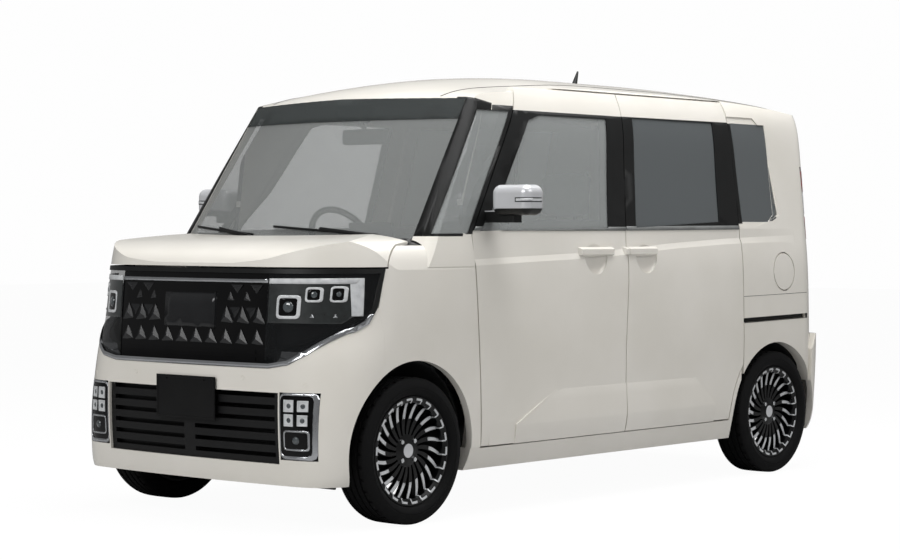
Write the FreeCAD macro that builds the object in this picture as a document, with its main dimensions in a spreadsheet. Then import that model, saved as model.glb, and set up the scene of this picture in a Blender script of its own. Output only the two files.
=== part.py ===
import FreeCAD, Part
import math
import os
from functools import lru_cache

# A small tall-roofed car. X points forward, Y to the car's left, Z up, and the
# origin is on the ground under the middle of the car. All lengths are millimetres.
V = FreeCAD.Vector
FULL_TURN = 360.0
X_AXIS = V(1, 0, 0)
Y_AXIS = V(0, 1, 0)
Z_AXIS = V(0, 0, 1)

doc = FreeCAD.newDocument("kei_car")

# Driving dimensions of the car, each one a cell of the sheet.
SIZES = {
    # overall size and running gear places
    "nose_x": 1693.5,
    "tail_x": -1701.5,
    "front_axle_x": 1198.5,
    "wheelbase": 2495.0,
    "half_track": 650.0,
    "roof_z": 1785.0,
    # cross-section of the body side: half width and height of each station
    "sill_half": 690.0,
    "sill_z": 180.0,
    "rocker_half": 715.0,
    "rocker_z": 230.0,
    "low_half": 728.0,
    "low_z": 350.0,
    "hip_half": 737.5,
    "hip_z": 600.0,
    "waist_half": 735.0,
    "waist_z": 800.0,
    "shoulder_half": 727.0,
    "shoulder_z": 980.0,
    "belt_half": 705.0,
    "belt_z": 1130.0,
    "glass_half": 670.0,
    "glass_z": 1370.0,
    "lintel_half": 632.0,
    "lintel_z": 1610.0,
    "rail_half": 600.0,
    "rail_z": 1685.0,
    "ditch_half": 555.0,
    "ditch_z": 1722.0,
    "peak_half": 440.0,
    "peak_z": 1830.0,
    # plan of the nose: front edge and corner radius at each height
    "nose_bow": 6000.0,
    "chin_z": 140.0,
    "chin_x": 1668.0,
    "chin_half": 700.0,
    "chin_round": 140.0,
    "lip_z": 250.0,
    "lip_x": 1685.0,
    "lip_round": 185.0,
    "bumper_z": 440.0,
    "bumper_half": 733.0,
    "bumper_round": 236.0,
    "brow_z": 640.0,
    "brow_x": 1692.0,
    "brow_round": 310.0,
    "lamp_mid_z": 800.0,
    "lamp_mid_x": 1683.0,
    "lamp_round": 378.0,
    "hood_edge_z": 978.0,
    "hood_edge_x": 1668.0,
    "hood_edge_round": 390.0,
    "nose_top_z": 1180.0,
    "nose_top_x": 1640.0,
    # plan of the tail
    "tail_wall_x": -1665.0,
    "tail_low_round": 130.0,
    "tail_belt_round": 112.0,
    "tail_top_round": 63.0,
    "tail_roof_round": 100.0,
    "rear_bumper_round": 94.0,
    "rear_bumper_top_z": 632.0,
    # hood surface along the middle of the car
    "hood_nose_x": 1662.0,
    "hood_nose_z": 995.0,
    "hood_lip_x": 1640.0,
    "hood_lip_z": 1022.0,
    "hood_fore_x": 1570.0,
    "hood_fore_z": 1056.0,
    "hood_mid_x": 1400.0,
    "hood_mid_z": 1086.0,
    "hood_back_x": 1150.0,
    "hood_back_z": 1108.0,
    "hood_end_x": 900.0,
    "hood_end_z": 1122.0,
    # crown of the hood and fenders across the car
    "crown_z": 1126.0,
    "crown_mid_half": 420.0,
    "crown_mid_z": 1112.0,
    "crown_side_half": 610.0,
    "crown_side_z": 1088.0,
    "crown_edge_half": 690.0,
    "crown_edge_z": 1052.0,
    "crown_fall_half": 722.0,
    "crown_fall_z": 990.0,
    "crown_foot_half": 745.0,
    "crown_foot_z": 880.0,
    # windscreen: corner place and bow at the base and at the top
    "screen_base_x": 1098.5,
    "screen_base_half": 633.0,
    "screen_base_z": 1099.0,
    "screen_base_bow": 140.0,
    "screen_top_x": 741.0,
    "screen_top_half": 590.0,
    "screen_top_z": 1644.0,
    "screen_top_bow": 100.0,
    "pillar_round": 70.0,
    "pillar_step": 2.0,
    "screen_inset": 2.0,
    "screen_wall": 5.0,
    "screen_head_z": 1656.0,
    "screen_foot_z": 1040.0,
    "join_x": -1010.0,
    "roof_edge_half": 552.0,
    # roof line: height of the roof's middle at each station
    "roof_brow_x": 1000.0,
    "roof_brow_z": 1598.0,
    "brow_low_z": 1480.0,
    "roof_edge_x": 800.0,
    "roof_edge_z": 1668.0,
    "roof_fore_x": 600.0,
    "roof_fore_z": 1722.0,
    "roof_front_x": 300.0,
    "roof_front_z": 1764.0,
    "roof_mid_x": -100.0,
    "roof_high_x": -600.0,
    "roof_back_x": -1200.0,
    "roof_back_z": 1772.0,
    "roof_end_x": -1750.0,
    "roof_end_z": 1735.0,
    "roof_bend": 2500.0,
    "roof_front_bend": 4300.0,
    "surface_rows": 12.0,
    # shut lines and panels
    "shut_gap": 6.5,
    "panel_gap": 0.3,
    "door_wall": 44.0,
    "side_wall": 50.0,
    "jamb_wall": 74.0,
    "jamb_lap": 20.0,
    "panel_wall": 30.0,
    "roof_wall": 32.0,
    "door_low_z": 267.0,
    "door_hip_z": 620.0,
    "door_waist_z": 902.0,
    "door_belt_z": 1100.0,
    "door_top_z": 1706.0,
    "fender_low_x": 800.0,
    "fender_hip_x": 826.0,
    "fender_waist_x": 838.0,
    "fender_belt_x": 843.0,
    "pillar_mid_x": 490.0,
    "pillar_mid_z": 1613.0,
    "pillar_top_x": 445.0,
    "pillar_top_z": 1684.0,
    "middle_low_x": -144.0,
    "middle_hip_x": -135.0,
    "middle_waist_x": -160.0,
    "middle_belt_x": -173.0,
    "middle_top_x": -272.0,
    "rear_low_x": -880.0,
    "rear_hip_x": -1025.0,
    "rear_top_x": -1045.0,
    "edge_draft": 32.0,
    "draft_depth": 200.0,
    "draft_face_y": 760.0,
    "arch_lip": 25.0,
    "bumper_side_x": -1600.0,
    "bumper_side_z": 560.0,
    "bumper_end_x": -1640.0,
    # window openings in the side
    "front_glass_nose_x": 791.0,
    "front_glass_nose_z": 1116.0,
    "front_glass_knee_x": 620.0,
    "front_glass_knee_z": 1280.0,
    "front_glass_brow_x": 409.0,
    "front_glass_brow_z": 1568.0,
    "front_glass_top_x": 327.0,
    "front_glass_top_z": 1591.0,
    "front_glass_rear_top_x": -121.0,
    "front_glass_rear_x": -44.0,
    "front_glass_rear_z": 1129.0,
    "slide_glass_front_x": -242.0,
    "slide_glass_front_top_x": -308.0,
    "slide_glass_low_z": 1131.0,
    "slide_glass_top_z": 1603.0,
    "slide_glass_rear_top_x": -915.0,
    "slide_glass_rear_x": -874.0,
    "slide_glass_rear_z": 1157.0,
    "quarter_front_x": -1062.0,
    "quarter_low_z": 1158.0,
    "quarter_top_z": 1608.0,
    "quarter_rear_top_x": -1340.0,
    "quarter_rear_x": -1323.0,
    "quarter_rear_z": 1191.0,
    "quarter_foot_x": -1274.0,
    "fix_nose_x": 1062.0,
    "fix_low_z": 1106.0,
    "fix_rear_x": 866.0,
    "fix_rear_top_x": 520.0,
    "fix_top_z": 1600.0,
    "fix_nose_top_x": 722.0,
    "glass_inset": 4.0,
    "glass_wall": 4.0,
    "glass_seat": 0.3,
    # wheels
    "tyre_radius": 281.0,
    "tyre_width": 165.0,
    "bead_radius": 192.0,
    "rim_radius": 208.0,
    "bead_half": 58.0,
    "shoulder_y": 67.0,
    "rim_flange": 8.0,
    "rim_wall": 8.0,
    "disc_y": 8.0,
    "disc_wall": 12.0,
    "disc_radius": 122.0,
    "blade_face_y": 40.0,
    "hub_face_y": 48.0,
    "cap_radius": 32.0,
    "blade_root": 9.0,
    "blade_tip": 20.0,
    "blade_sweep": 62.0,
    "blade_bend_share": 0.25,
    "blade_deep": 16.0,
    "blade_count": 22.0,
    "arch_radius": 340.0,
    "arch_front_z": 285.0,
    "arch_rear_radius": 336.0,
    "arch_rear_z": 268.0,
    "well_inner_y": 398.0,
    "rear_well_inner_y": 520.0,
    "liner_wall": 8.0,
    "hub_radius": 62.0,
    "spindle_radius": 28.0,
    "running_gap": 0.1,
    "kingpin_y": 600.0,
    # front face
    "face_low_z": 596.0,
    "face_mid_half": 430.0,
    "face_mid_z": 606.0,
    "face_turn_half": 519.0,
    "face_turn_z": 621.0,
    "face_rise_half": 583.0,
    "face_rise_z": 658.0,
    "face_side_x": 1496.0,
    "face_side_z": 737.0,
    "face_wing_x": 1433.0,
    "face_wing_z": 772.0,
    "face_back_x": 1397.0,
    "face_back_z": 828.0,
    "face_end_x": 1352.0,
    "face_rise_x": 1626.0,
    "face_drop_x": 1640.0,
    "face_side_half": 680.0,
    "grille_depth": 6.0,
    "grille_wall": 16.0,
    "chrome_stand": 3.0,
    "lamp_depth": 2.0,
    "lamp_body": 60.0,
    "lower_grille_depth": 12.0,
    "slat_count": 6.0,
    "slat_share": 0.55,
    "slot_start": 30.0,
    "slot_end": 450.0,
    "face_chrome": 17.0,
    "lamp_inner_half": 408.0,
    "intake_half": 476.0,
    "intake_low_z": 250.0,
    "intake_top_z": 516.0,
    "fog_half": 640.0,
    "fog_low_z": 268.0,
    "fog_top_z": 519.0,
    "fender_front_x": 1372.0,
    "plate_wide": 330.0,
    "plate_high": 165.0,
    "plate_thick": 3.0,
    "plate_front_z": 480.0,
    "plate_hole_span": 210.0,
    "plate_hole_radius": 3.5,
    "plate_stand": 8.0,
    # hood outline in plan
    "hood_rear_x": 1150.0,
    "hood_rear_half": 655.0,
    "hood_rear_bow": 140.0,
    "hood_side_x": 1247.0,
    "hood_side_half": 676.0,
    "hood_corner_x": 1352.0,
    "hood_wall": 22.0,
    "hood_hinge_x": 1146.0,
    "hood_hinge_z": 1082.0,
    # tailgate
    "gate_half": 596.0,
    "gate_top_x": -1570.0,
    "gate_hinge_z": 1745.0,
    "gate_barrel_low": 20.0,
    "gate_barrel_high": 50.0,
    "lid_hinge_y": 730.5,
    "lid_barrel_half": 8.0,
    "stop_half": 40.0,
    "stop_depth": 8.0,
    "gate_low_z": 642.0,
    "gate_wall": 46.0,
    "gate_glass_half": 545.0,
    "gate_glass_top_half": 520.0,
    "lamp_wall": 40.0,
    "cowl_depth": 6.0,
    "gate_glass_low_z": 1135.0,
    "gate_glass_top_z": 1590.0,
    "lamp_half": 604.0,
    "lamp_low_z": 1060.0,
    "lamp_top_z": 1420.0,
    "lamp_front_x": -1600.0,
    "plate_rear_z": 860.0,
    # fuel lid
    "lid_x": -1366.0,
    "lid_z": 929.0,
    "lid_radius": 84.0,
    "lid_wall": 4.0,
    "pocket_depth": 13.0,
    # mirrors
    "mirror_x": 725.0,
    "mirror_y": 845.0,
    "mirror_z": 1238.0,
    "mirror_wide": 190.0,
    "mirror_deep": 118.0,
    "mirror_high": 118.0,
    "mirror_foot_z": 1150.0,
    # floor and inside
    "floor_wall": 20.0,
    "floor_z": 262.0,
    "firewall_x": 1020.0,
    "firewall_z": 1010.0,
    "toe_x": 900.0,
    "heel_x": -880.0,
    "load_x": -1060.0,
    "load_z": 460.0,
    "floor_half": 630.0,
    "dash_rear_x": 640.0,
    "dash_low_z": 700.0,
    "dash_top_z": 1040.0,
    "dash_half": 610.0,
    "seat_wide": 480.0,
    "seat_y": 310.0,
    "seat_front_x": 330.0,
    "seat_deep": 500.0,
    "seat_low_z": 420.0,
    "seat_top_z": 620.0,
    "back_thick": 130.0,
    "back_top_z": 1180.0,
    "back_lean": 170.0,
    "head_wide": 250.0,
    "head_high": 190.0,
    "rear_seat_x": -560.0,
    "wheel_centre_x": 470.0,
    "wheel_centre_y": -340.0,
    "wheel_centre_z": 1052.0,
    "wheel_ring": 176.0,
    "wheel_tube": 14.0,
    "column_length": 150.0,
    "carrier_radius": 44.0,
    "carrier_long": 60.0,
    "spindle_long": 42.0,
    "upright_wide": 60.0,
    "upright_deep": 30.0,
    "ball_z": 180.0,
    "caliper_long": 70.0,
    "caliper_high": 90.0,
    "subframe_x": 1080.0,
    "subframe_half": 389.7,
    "subframe_long": 240.0,
    "subframe_z": 170.0,
    "subframe_high": 90.0,
    "arm_high": 26.0,
    "rack_radius": 22.0,
    "rack_half": 370.0,
    "beam_radius": 34.0,
    "beam_half": 480.0,
    "beam_x": -1190.0,
    "beam_z": 240.0,
    "trail_wide": 50.0,
    "trail_tail": 40.0,
    "trail_long": 470.0,
    "tank_x": -620.0,
    "tank_long": 520.0,
    "tank_wide": 700.0,
    "tank_high": 80.0,
    "liner_foot_z": 250.0,
    "dash_lip": 70.0,
    "head_deep": 100.0,
    "rear_seat_y": 245.0,
    "rear_seat_wide": 470.0,
    "column_tilt": 28.0,
    "column_radius": 34.0,
    "boss_radius": 48.0,
    "boss_long": 60.0,
    "spoke_wide": 34.0,
    "mirror_round": 34.0,
    "mirror_foot": 46.0,
    "bracket_half": 110.0,
    "plate_hole_drop": 14.0,
    "antenna_x": -714.0,
    "antenna_foot": 14.0,
    "antenna_tip": 4.0,
    "antenna_high": 75.0,
    "antenna_lean": 0.4,
    "engine_long": 360.0,
    "engine_wide": 560.0,
    "engine_high": 500.0,
    "engine_x": 1130.0,
    "engine_z": 262.0,
    "frame_gap": 0.8,
    "crease_nose_x": 1110.0,
    "crease_nose_z": 973.0,
    "crease_fender_x": 900.0,
    "crease_fender_z": 979.0,
    "crease_front_x": 560.0,
    "crease_front_z": 990.0,
    "crease_mid_x": 67.0,
    "crease_mid_z": 1004.0,
    "crease_rise_x": -508.0,
    "crease_rise_z": 1040.0,
    "crease_rear_x": -900.0,
    "crease_rear_z": 1058.0,
    "crease_tail_x": -1480.0,
    "crease_tail_z": 1074.0,
    "crease_deep": 6.5,
    "crease_fall": 24.0,
    "crease_fade_z": 1128.0,
    "press_nose_x": 752.0,
    "press_nose_top_z": 396.0,
    "press_nose_low_z": 352.0,
    "press_rise_x": 594.0,
    "press_rise_top_z": 441.0,
    "press_rise_low_z": 360.0,
    "press_front_x": 435.0,
    "press_front_top_z": 480.0,
    "press_front_low_z": 366.0,
    "press_mid_x": -107.0,
    "press_mid_top_z": 473.0,
    "press_mid_low_z": 380.0,
    "press_rear_x": -547.0,
    "press_rear_top_z": 442.0,
    "press_rear_low_z": 374.0,
    "press_tail_x": -700.0,
    "press_tail_top_z": 372.0,
    "press_tail_low_z": 330.0,
    "press_stand": 5.5,
    "press_root": 20.0,
    "handle_front_x": 57.0,
    "handle_rear_x": -252.0,
    "handle_long": 238.0,
    "handle_high": 40.0,
    "handle_z": 1030.0,
    "handle_stand": 12.0,
    "handle_sink": 16.0,
    "handle_taper": 9.0,
    "scoop_front_x": 62.0,
    "scoop_rear_x": -292.0,
    "scoop_half_long": 76.0,
    "scoop_half_high": 80.0,
    "scoop_z": 1010.0,
    "scoop_deep": 17.0,
    "slot_front_x": -959.0,
    "slot_rear_x": -1540.0,
    "slot_front_low_z": 701.0,
    "slot_front_top_z": 719.0,
    "slot_rear_low_z": 711.0,
    "slot_rear_top_z": 729.0,
    "slot_deep": 14.0,
    "recess_top_x": -1251.0,
    "recess_top_z": 1638.0,
    "recess_back_x": -1311.0,
    "recess_back_z": 1584.0,
    "recess_foot_x": -1374.0,
    "recess_foot_z": 1191.0,
    "recess_low_x": -1189.0,
    "recess_low_z": 1140.0,
    "recess_deep": 3.0,
    "facet_stand": 9.0,
    "facet_sink": 4.0,
    "low_row_z": 690.0,
    "low_row_high": 58.0,
    "low_row_half": 484.2,
    "low_row_count": 12.0,
    "row_gap": 8.0,
    "mid_row_z": 768.0,
    "mid_row_high": 66.0,
    "mid_row_start": 160.0,
    "mid_row_pitch": 82.0,
    "top_row_z": 914.0,
    "top_row_high": 34.0,
    "top_row_start": 200.0,
    "top_row_pitch": 100.0,
    "plain_half": 141.0,
    "plain_low_z": 742.0,
    "plain_top_z": 886.0,
    "plain_stand": 2.0,
    "bar_half": 360.0,
    "bar_low_z": 628.0,
    "bar_high": 15.0,
    "bar_pitch": 27.0,
    "bar_stand": 2.0,
    "leaf_low_z": 400.0,
    "leaf_high_z": 800.0,
    "leaf_tall": 60.0,
    "kingpin_radius": 12.0,
    "kingpin_long": 168.0,
}

sheet = doc.addObject("Spreadsheet::Sheet", "sizes")
for row, (alias, size) in enumerate(SIZES.items(), 1):
    sheet.set(f"A{row}", alias)
    sheet.set(f"B{row}", str(size))
    sheet.setAlias(f"B{row}", alias)
doc.recompute()


class Named:
    """The sheet's cells, read by their names."""

    def __getattr__(self, alias):
        return float(sheet.get(alias))


g = Named()
rear_axle_x = g.front_axle_x - g.wheelbase
wheel_z = g.tyre_radius
# Every cut runs past what it cuts by this much.
over = g.tyre_width
nodes = []


def keep(name, shape):
    """Put a finished solid in the document as a node of its own."""
    part = doc.addObject("Part::Feature", name)
    part.Shape = shape
    part.Label = name
    nodes.append(part)
    return part


def curve(points):
    """A smooth edge through the points."""
    spline = Part.BSplineCurve()
    spline.interpolate(points)
    return spline.toShape()


def line(start, end):
    return Part.LineSegment(start, end).toShape()


def prism(points, direction):
    """A straight-sided block: the polygon through the points, swept along direction."""
    face = Part.Face(Part.makePolygon(points + [points[0]]))
    return face.extrude(direction)


def side_block(outline, low_y, high_y):
    """Block with an outline given as x, z pairs, from low_y to high_y."""
    return prism([V(x, low_y, z) for x, z in outline], V(0, high_y - low_y, 0))


def front_block(outline, low_x, high_x):
    """Block with an outline given as y, z pairs, from low_x to high_x."""
    return prism([V(low_x, y, z) for y, z in outline], V(high_x - low_x, 0, 0))


def plan_block(outline, low_z, high_z):
    """Block with an outline given as x, y pairs, from low_z to high_z."""
    return prism([V(x, y, low_z) for x, y in outline], V(0, 0, high_z - low_z))


def box(low, high):
    return Part.makeBox(high[0] - low[0], high[1] - low[1], high[2] - low[2], V(*low))


def rod_y(x, z, radius, low_y, high_y):
    return Part.makeCylinder(radius, high_y - low_y, V(x, low_y, z), Y_AXIS)


def mirrored(shape):
    """The same shape on the other side of the car."""
    return shape.mirror(V(0, 0, 0), Y_AXIS)


def biggest(shape):
    """The largest solid of a shape, which drops the slivers of a cut."""
    return max(shape.Solids, key=lambda solid: solid.Volume)


# Stations of the body side, from the sill up past the roof ditch: height and half width.
SIDE_TABLE = [
    (g.sill_z, g.sill_half),
    (g.rocker_z, g.rocker_half),
    (g.low_z, g.low_half),
    (g.hip_z, g.hip_half),
    (g.waist_z, g.waist_half),
    (g.shoulder_z, g.shoulder_half),
    (g.belt_z, g.belt_half),
    (g.glass_z, g.glass_half),
    (g.lintel_z, g.lintel_half),
    (g.rail_z, g.rail_half),
    (g.ditch_z, g.ditch_half),
    (g.peak_z, g.peak_half),
]
ROOF_TABLE = [
    (g.roof_end_x, g.roof_end_z),
    (g.roof_back_x, g.roof_back_z),
    (g.roof_high_x, g.roof_z),
    (g.roof_mid_x, g.roof_z),
    (g.roof_front_x, g.roof_front_z),
    (g.roof_fore_x, g.roof_fore_z),
    (g.roof_edge_x, g.roof_edge_z),
    (g.roof_brow_x, g.roof_brow_z),
]
BEND_TABLE = [
    (g.roof_end_x, g.roof_bend),
    (g.roof_front_x, g.roof_bend),
    (g.roof_edge_x, g.roof_front_bend),
    (g.roof_brow_x, g.roof_front_bend),
]
NOSE_FRONT = [
    (g.chin_z, g.chin_x),
    (g.lip_z, g.lip_x),
    (g.bumper_z, g.nose_x),
    (g.brow_z, g.brow_x),
    (g.lamp_mid_z, g.lamp_mid_x),
    (g.hood_edge_z, g.hood_edge_x),
    (g.nose_top_z, g.nose_top_x),
]
NOSE_ROUND = [
    (g.chin_z, g.chin_round),
    (g.lip_z, g.lip_round),
    (g.bumper_z, g.bumper_round),
    (g.brow_z, g.brow_round),
    (g.lamp_mid_z, g.lamp_round),
    (g.nose_top_z, g.hood_edge_round),
]

TAIL_ROUND = (
    (g.sill_z, g.tail_low_round),
    (g.shoulder_z, g.tail_low_round),
    (g.belt_z, g.tail_belt_round),
    (g.lintel_z, g.tail_top_round),
    (g.peak_z, g.tail_top_round),
)
BUMPER_ROUND = (
    (g.sill_z, g.rear_bumper_round),
    (g.peak_z, g.rear_bumper_round),
)


def eased(table, place):
    """Smooth value between the rows of a table, never beyond the rows on either side."""
    place = min(max(place, table[0][0]), table[-1][0])
    runs = [b[0] - a[0] for a, b in zip(table, table[1:])]
    rises = [(b[1] - a[1]) / run for a, b, run in zip(table, table[1:], runs)]
    slopes = [rises[0]]
    for before, after in zip(rises, rises[1:]):
        even = before * after > 0
        slopes.append(2 * before * after / (before + after) if even else 0)
    slopes.append(rises[-1])
    index = 0
    while index < len(runs) - 1 and place > table[index + 1][0]:
        index += 1
    run = runs[index]
    share = (place - table[index][0]) / run
    start, end = table[index][1], table[index + 1][1]
    rise = end - start
    swell = slopes[index] * run * (share - 2 * share ** 2 + share ** 3)
    fall = slopes[index + 1] * run * (share ** 3 - share ** 2)
    return start + rise * (3 * share ** 2 - 2 * share ** 3) + swell + fall


def even_steps(low, high):
    """Evenly spaced places from low to high, for the sections of a surface."""
    count = int(g.surface_rows)
    return [low + (high - low) * step / count for step in range(count + 1)]


def half_at(height):
    """Half width of the body side at a height."""
    return eased(SIDE_TABLE, height)


def side_curve(depth):
    """The section of the body side as half width, height pairs, set in by depth."""
    moved = []
    reach = g.panel_gap
    foot = g.sill_z - over if depth > 0 else g.sill_z
    for height in even_steps(foot, g.peak_z):
        low, high = max(height - reach, foot), min(height + reach, g.peak_z)
        run = V(half_at(high) - half_at(low), high - low, 0).normalize()
        moved.append((half_at(height) - run.y * depth, height + run.x * depth))
    return moved


@lru_cache(None)
def side_solid(depth, low_x, high_x):
    """The whole width of the body between two cross planes, set in by depth."""
    pairs = side_curve(depth)
    left = curve([V(low_x, half, height) for half, height in pairs])
    right = curve([V(low_x, -half, height) for half, height in reversed(pairs)])
    foot = line(V(low_x, -pairs[0][0], pairs[0][1]), V(low_x, pairs[0][0], pairs[0][1]))
    top = line(V(low_x, pairs[-1][0], pairs[-1][1]), V(low_x, -pairs[-1][0], pairs[-1][1]))
    face = Part.Face(Part.Wire([foot, left, top, right]))
    return face.extrude(V(high_x - low_x, 0, 0))


def bowed_plan(height, front, half, corner, bow, rear):
    """Plan outline of a nose: a bowed front, two round corners and straight sides."""
    centre_x = front - bow
    corner_y = half - corner
    corner_x = centre_x + math.sqrt((bow - corner) ** 2 - corner_y ** 2)
    reach = V(corner_x - centre_x, corner_y, 0).normalize()
    join = V(centre_x, 0, height) + reach * bow
    slant = (reach + Y_AXIS).normalize()
    middle = V(corner_x, corner_y, height) + slant * corner
    side = V(corner_x, half, height)
    back = V(rear, half, height)

    def other(point):
        return V(point.x, -point.y, point.z)

    edges = [
        Part.Arc(other(join), V(front, 0, height), join).toShape(),
        Part.Arc(join, middle, side).toShape(),
        line(side, back),
        line(back, other(back)),
        line(other(back), other(side)),
        Part.Arc(other(side), other(middle), other(join)).toShape(),
    ]
    return Part.Wire(edges)


@lru_cache(None)
def nose_solid(depth):
    """The front of the body below the windscreen, set in by depth."""
    wires = []
    for height in even_steps(g.chin_z, g.nose_top_z):
        front = eased(NOSE_FRONT, height) - depth
        half = half_at(height) - depth
        if height < g.sill_z:
            half = g.chin_half - depth - (g.sill_z - height)
        corner = eased(NOSE_ROUND, height) - depth
        wires.append(bowed_plan(height, front, half, corner, g.nose_bow, g.dash_rear_x))
    block = Part.makeLoft(wires, True, False)
    top_line = [
        (g.hood_nose_x, g.hood_nose_z),
        (g.hood_lip_x, g.hood_lip_z),
        (g.hood_fore_x, g.hood_fore_z),
        (g.hood_mid_x, g.hood_mid_z),
        (g.hood_back_x, g.hood_back_z),
        (g.hood_end_x, g.hood_end_z),
    ]
    wide = g.hip_half + over
    ridge = [V(x, -wide, z - depth) for x, z in top_line]
    start = V(g.nose_x + over, -wide, g.hood_edge_z - depth)
    end = V(g.dash_rear_x - over, -wide, g.hood_end_z - depth)
    low = V(end.x, -wide, 0)
    low_front = V(start.x, -wide, 0)
    edges = [line(low, low_front), line(low_front, start), line(start, ridge[0]),
             curve(ridge), line(ridge[-1], end), line(end, low)]
    ridge_block = Part.Face(Part.Wire(edges)).extrude(V(0, 2 * wide, 0))
    crown = [
        (g.crown_foot_half, g.crown_foot_z),
        (g.crown_fall_half, g.crown_fall_z),
        (g.crown_edge_half, g.crown_edge_z),
        (g.crown_side_half, g.crown_side_z),
        (g.crown_mid_half, g.crown_mid_z),
        (0, g.crown_z),
    ]
    back_x = g.dash_rear_x - over
    arch = [V(back_x, y, z - depth) for y, z in crown]
    arch += [V(back_x, -y, z - depth) for y, z in reversed(crown[:-1])]
    foot_left = V(back_x, g.crown_foot_half, 0)
    foot_right = V(back_x, -g.crown_foot_half, 0)
    edges = [line(foot_left, arch[0]), curve(arch), line(arch[-1], foot_right),
             line(foot_right, foot_left)]
    crown_block = Part.Face(Part.Wire(edges)).extrude(V(g.nose_x + over - back_x, 0, 0))
    return block.common(ridge_block).common(crown_block)


@lru_cache(None)
def roof_solid(depth):
    """Everything under the crowned roof surface, set in by depth."""
    wires = []
    wide = g.hip_half
    for x in even_steps(g.roof_end_x, g.roof_brow_x):
        bend = eased(BEND_TABLE, x)
        drop = bend - math.sqrt(bend ** 2 - wide ** 2)
        top = eased(ROOF_TABLE, x) - depth
        left = V(x, wide, top - drop)
        right = V(x, -wide, top - drop)
        low_left = V(x, wide, 0)
        low_right = V(x, -wide, 0)
        wires.append(Part.Wire([Part.Arc(right, V(x, 0, top), left).toShape(), line(left, low_left),
                                line(low_left, low_right), line(low_right, right)]))
    return Part.makeLoft(wires, True, False)


@lru_cache(None)
def screen_solid(depth):
    """The glasshouse behind the windscreen and its pillars, set in by depth."""
    rise = g.screen_top_z - g.screen_base_z
    slope = (g.lintel_half - g.glass_half) / (g.lintel_z - g.glass_z)
    wires = []
    for height in (g.hood_edge_z, g.glass_z, g.peak_z):
        share = (height - g.screen_base_z) / rise
        corner_x = g.screen_base_x + share * (g.screen_top_x - g.screen_base_x)
        corner_half = g.screen_base_half + share * (g.screen_top_half - g.screen_base_half)
        sag = g.screen_base_bow + share * (g.screen_top_bow - g.screen_base_bow)
        bow = (corner_half ** 2 + sag ** 2) / (2 * sag)
        half = g.glass_half + slope * (height - g.glass_z) - depth + g.pillar_step
        corner = g.pillar_round
        wires.append(bowed_plan(height, corner_x + sag - depth, half, corner, bow, g.join_x))
    block = Part.makeLoft(wires, True, True)
    return block.common(side_solid(depth, g.join_x, g.nose_x))


def tail_plan(height, rear, half, corner):
    """Plan outline of the tail: a flat rear wall, two round corners, straight sides."""
    side = V(rear + corner, half, height)
    wall = V(rear, half - corner, height)
    lean = corner * math.sqrt(0.5)
    middle = V(rear + corner - lean, half - corner + lean, height)
    front = V(0, half, height)

    def other(point):
        return V(point.x, -point.y, point.z)

    edges = [
        line(front, side),
        Part.Arc(side, middle, wall).toShape(),
        line(wall, other(wall)),
        Part.Arc(other(wall), other(middle), other(side)).toShape(),
        line(other(side), other(front)),
        line(other(front), front),
    ]
    return Part.Wire(edges)


@lru_cache(None)
def tail_solid(depth, wall_x, round_table):
    """The rear of the body with its two upright corners, set in by depth."""
    wires = []
    for half, height in side_curve(depth):
        corner = max(eased(round_table, height) - depth, g.panel_wall)
        wires.append(tail_plan(height, wall_x + depth, half, corner))
    return Part.makeLoft(wires, True, False)


def roof_edge_waste(depth):
    """What is cut away over the tailgate to round the rear edge of the roof."""
    rear = g.tail_wall_x + depth
    top = g.roof_end_z + g.panel_wall - depth
    reach = g.tail_roof_round
    wide = g.hip_half + over
    turn = V(rear - over, -wide, top - reach)
    corner = V(rear, -wide, top - reach)
    lean = reach * math.sqrt(0.5)
    bend = V(rear + reach - lean, -wide, top - reach + lean)
    flat = V(rear + reach, -wide, top)
    high = V(rear + 2 * reach, -wide, g.peak_z + over)
    back = V(rear - over, -wide, g.peak_z + over)
    edges = [line(turn, corner), Part.Arc(corner, bend, flat).toShape(), line(flat, high),
             line(high, back), line(back, turn)]
    return Part.Face(Part.Wire(edges)).extrude(V(0, 2 * wide, 0))


def placed(part, x, y, z):
    """Bind a part's place to formulas of the sheet."""
    part.setExpression(".Placement.Base.x", x)
    part.setExpression(".Placement.Base.y", y)
    part.setExpression(".Placement.Base.z", z)
    return part


def bound(kind, name, place, **formulas):
    """A primitive whose sizes and place are formulas of the sheet."""
    part = doc.addObject(kind, name)
    for field, formula in formulas.items():
        part.setExpression(field, formula)
    return placed(part, *place)


def joined(name, shapes):
    """Several solids that touch, fused into one node."""
    part = doc.addObject("Part::MultiFuse", name)
    part.Shapes = shapes
    part.Label = name
    nodes.append(part)
    return part


def axle_rod(name, radius, length, x, y, z):
    """A cylinder that runs along Y from the given place."""
    part = bound("Part::Cylinder", name, (x, y, z), Radius=radius, Height=length)
    part.setExpression(".Placement.Rotation.Axis.x", "-1")
    part.setExpression(".Placement.Rotation.Axis.y", "0")
    part.setExpression(".Placement.Rotation.Axis.z", "0")
    part.setExpression(".Placement.Rotation.Angle", "90")
    return part


def inset(outline, size):
    """Outline moved inwards by size with its corners in the same order."""
    count = len(outline)
    area = sum(outline[i - 1][0] * outline[i][1] - outline[i][0] * outline[i - 1][1]
               for i in range(count))
    turn = math.copysign(1, area) * size
    lines = []
    for i in range(count):
        (ax, az), (bx, bz) = outline[i - 1], outline[i]
        length = math.hypot(bx - ax, bz - az)
        nx, nz = -(bz - az) / length, (bx - ax) / length
        lines.append((nx, nz, nx * ax + nz * az + turn))
    moved = []
    for i in range(count):
        (ax, az, a), (bx, bz, b) = lines[i], lines[(i + 1) % count]
        cross = ax * bz - bx * az
        moved.append(((a * bz - b * az) / cross, (ax * b - bx * a) / cross))
    return moved


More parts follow.
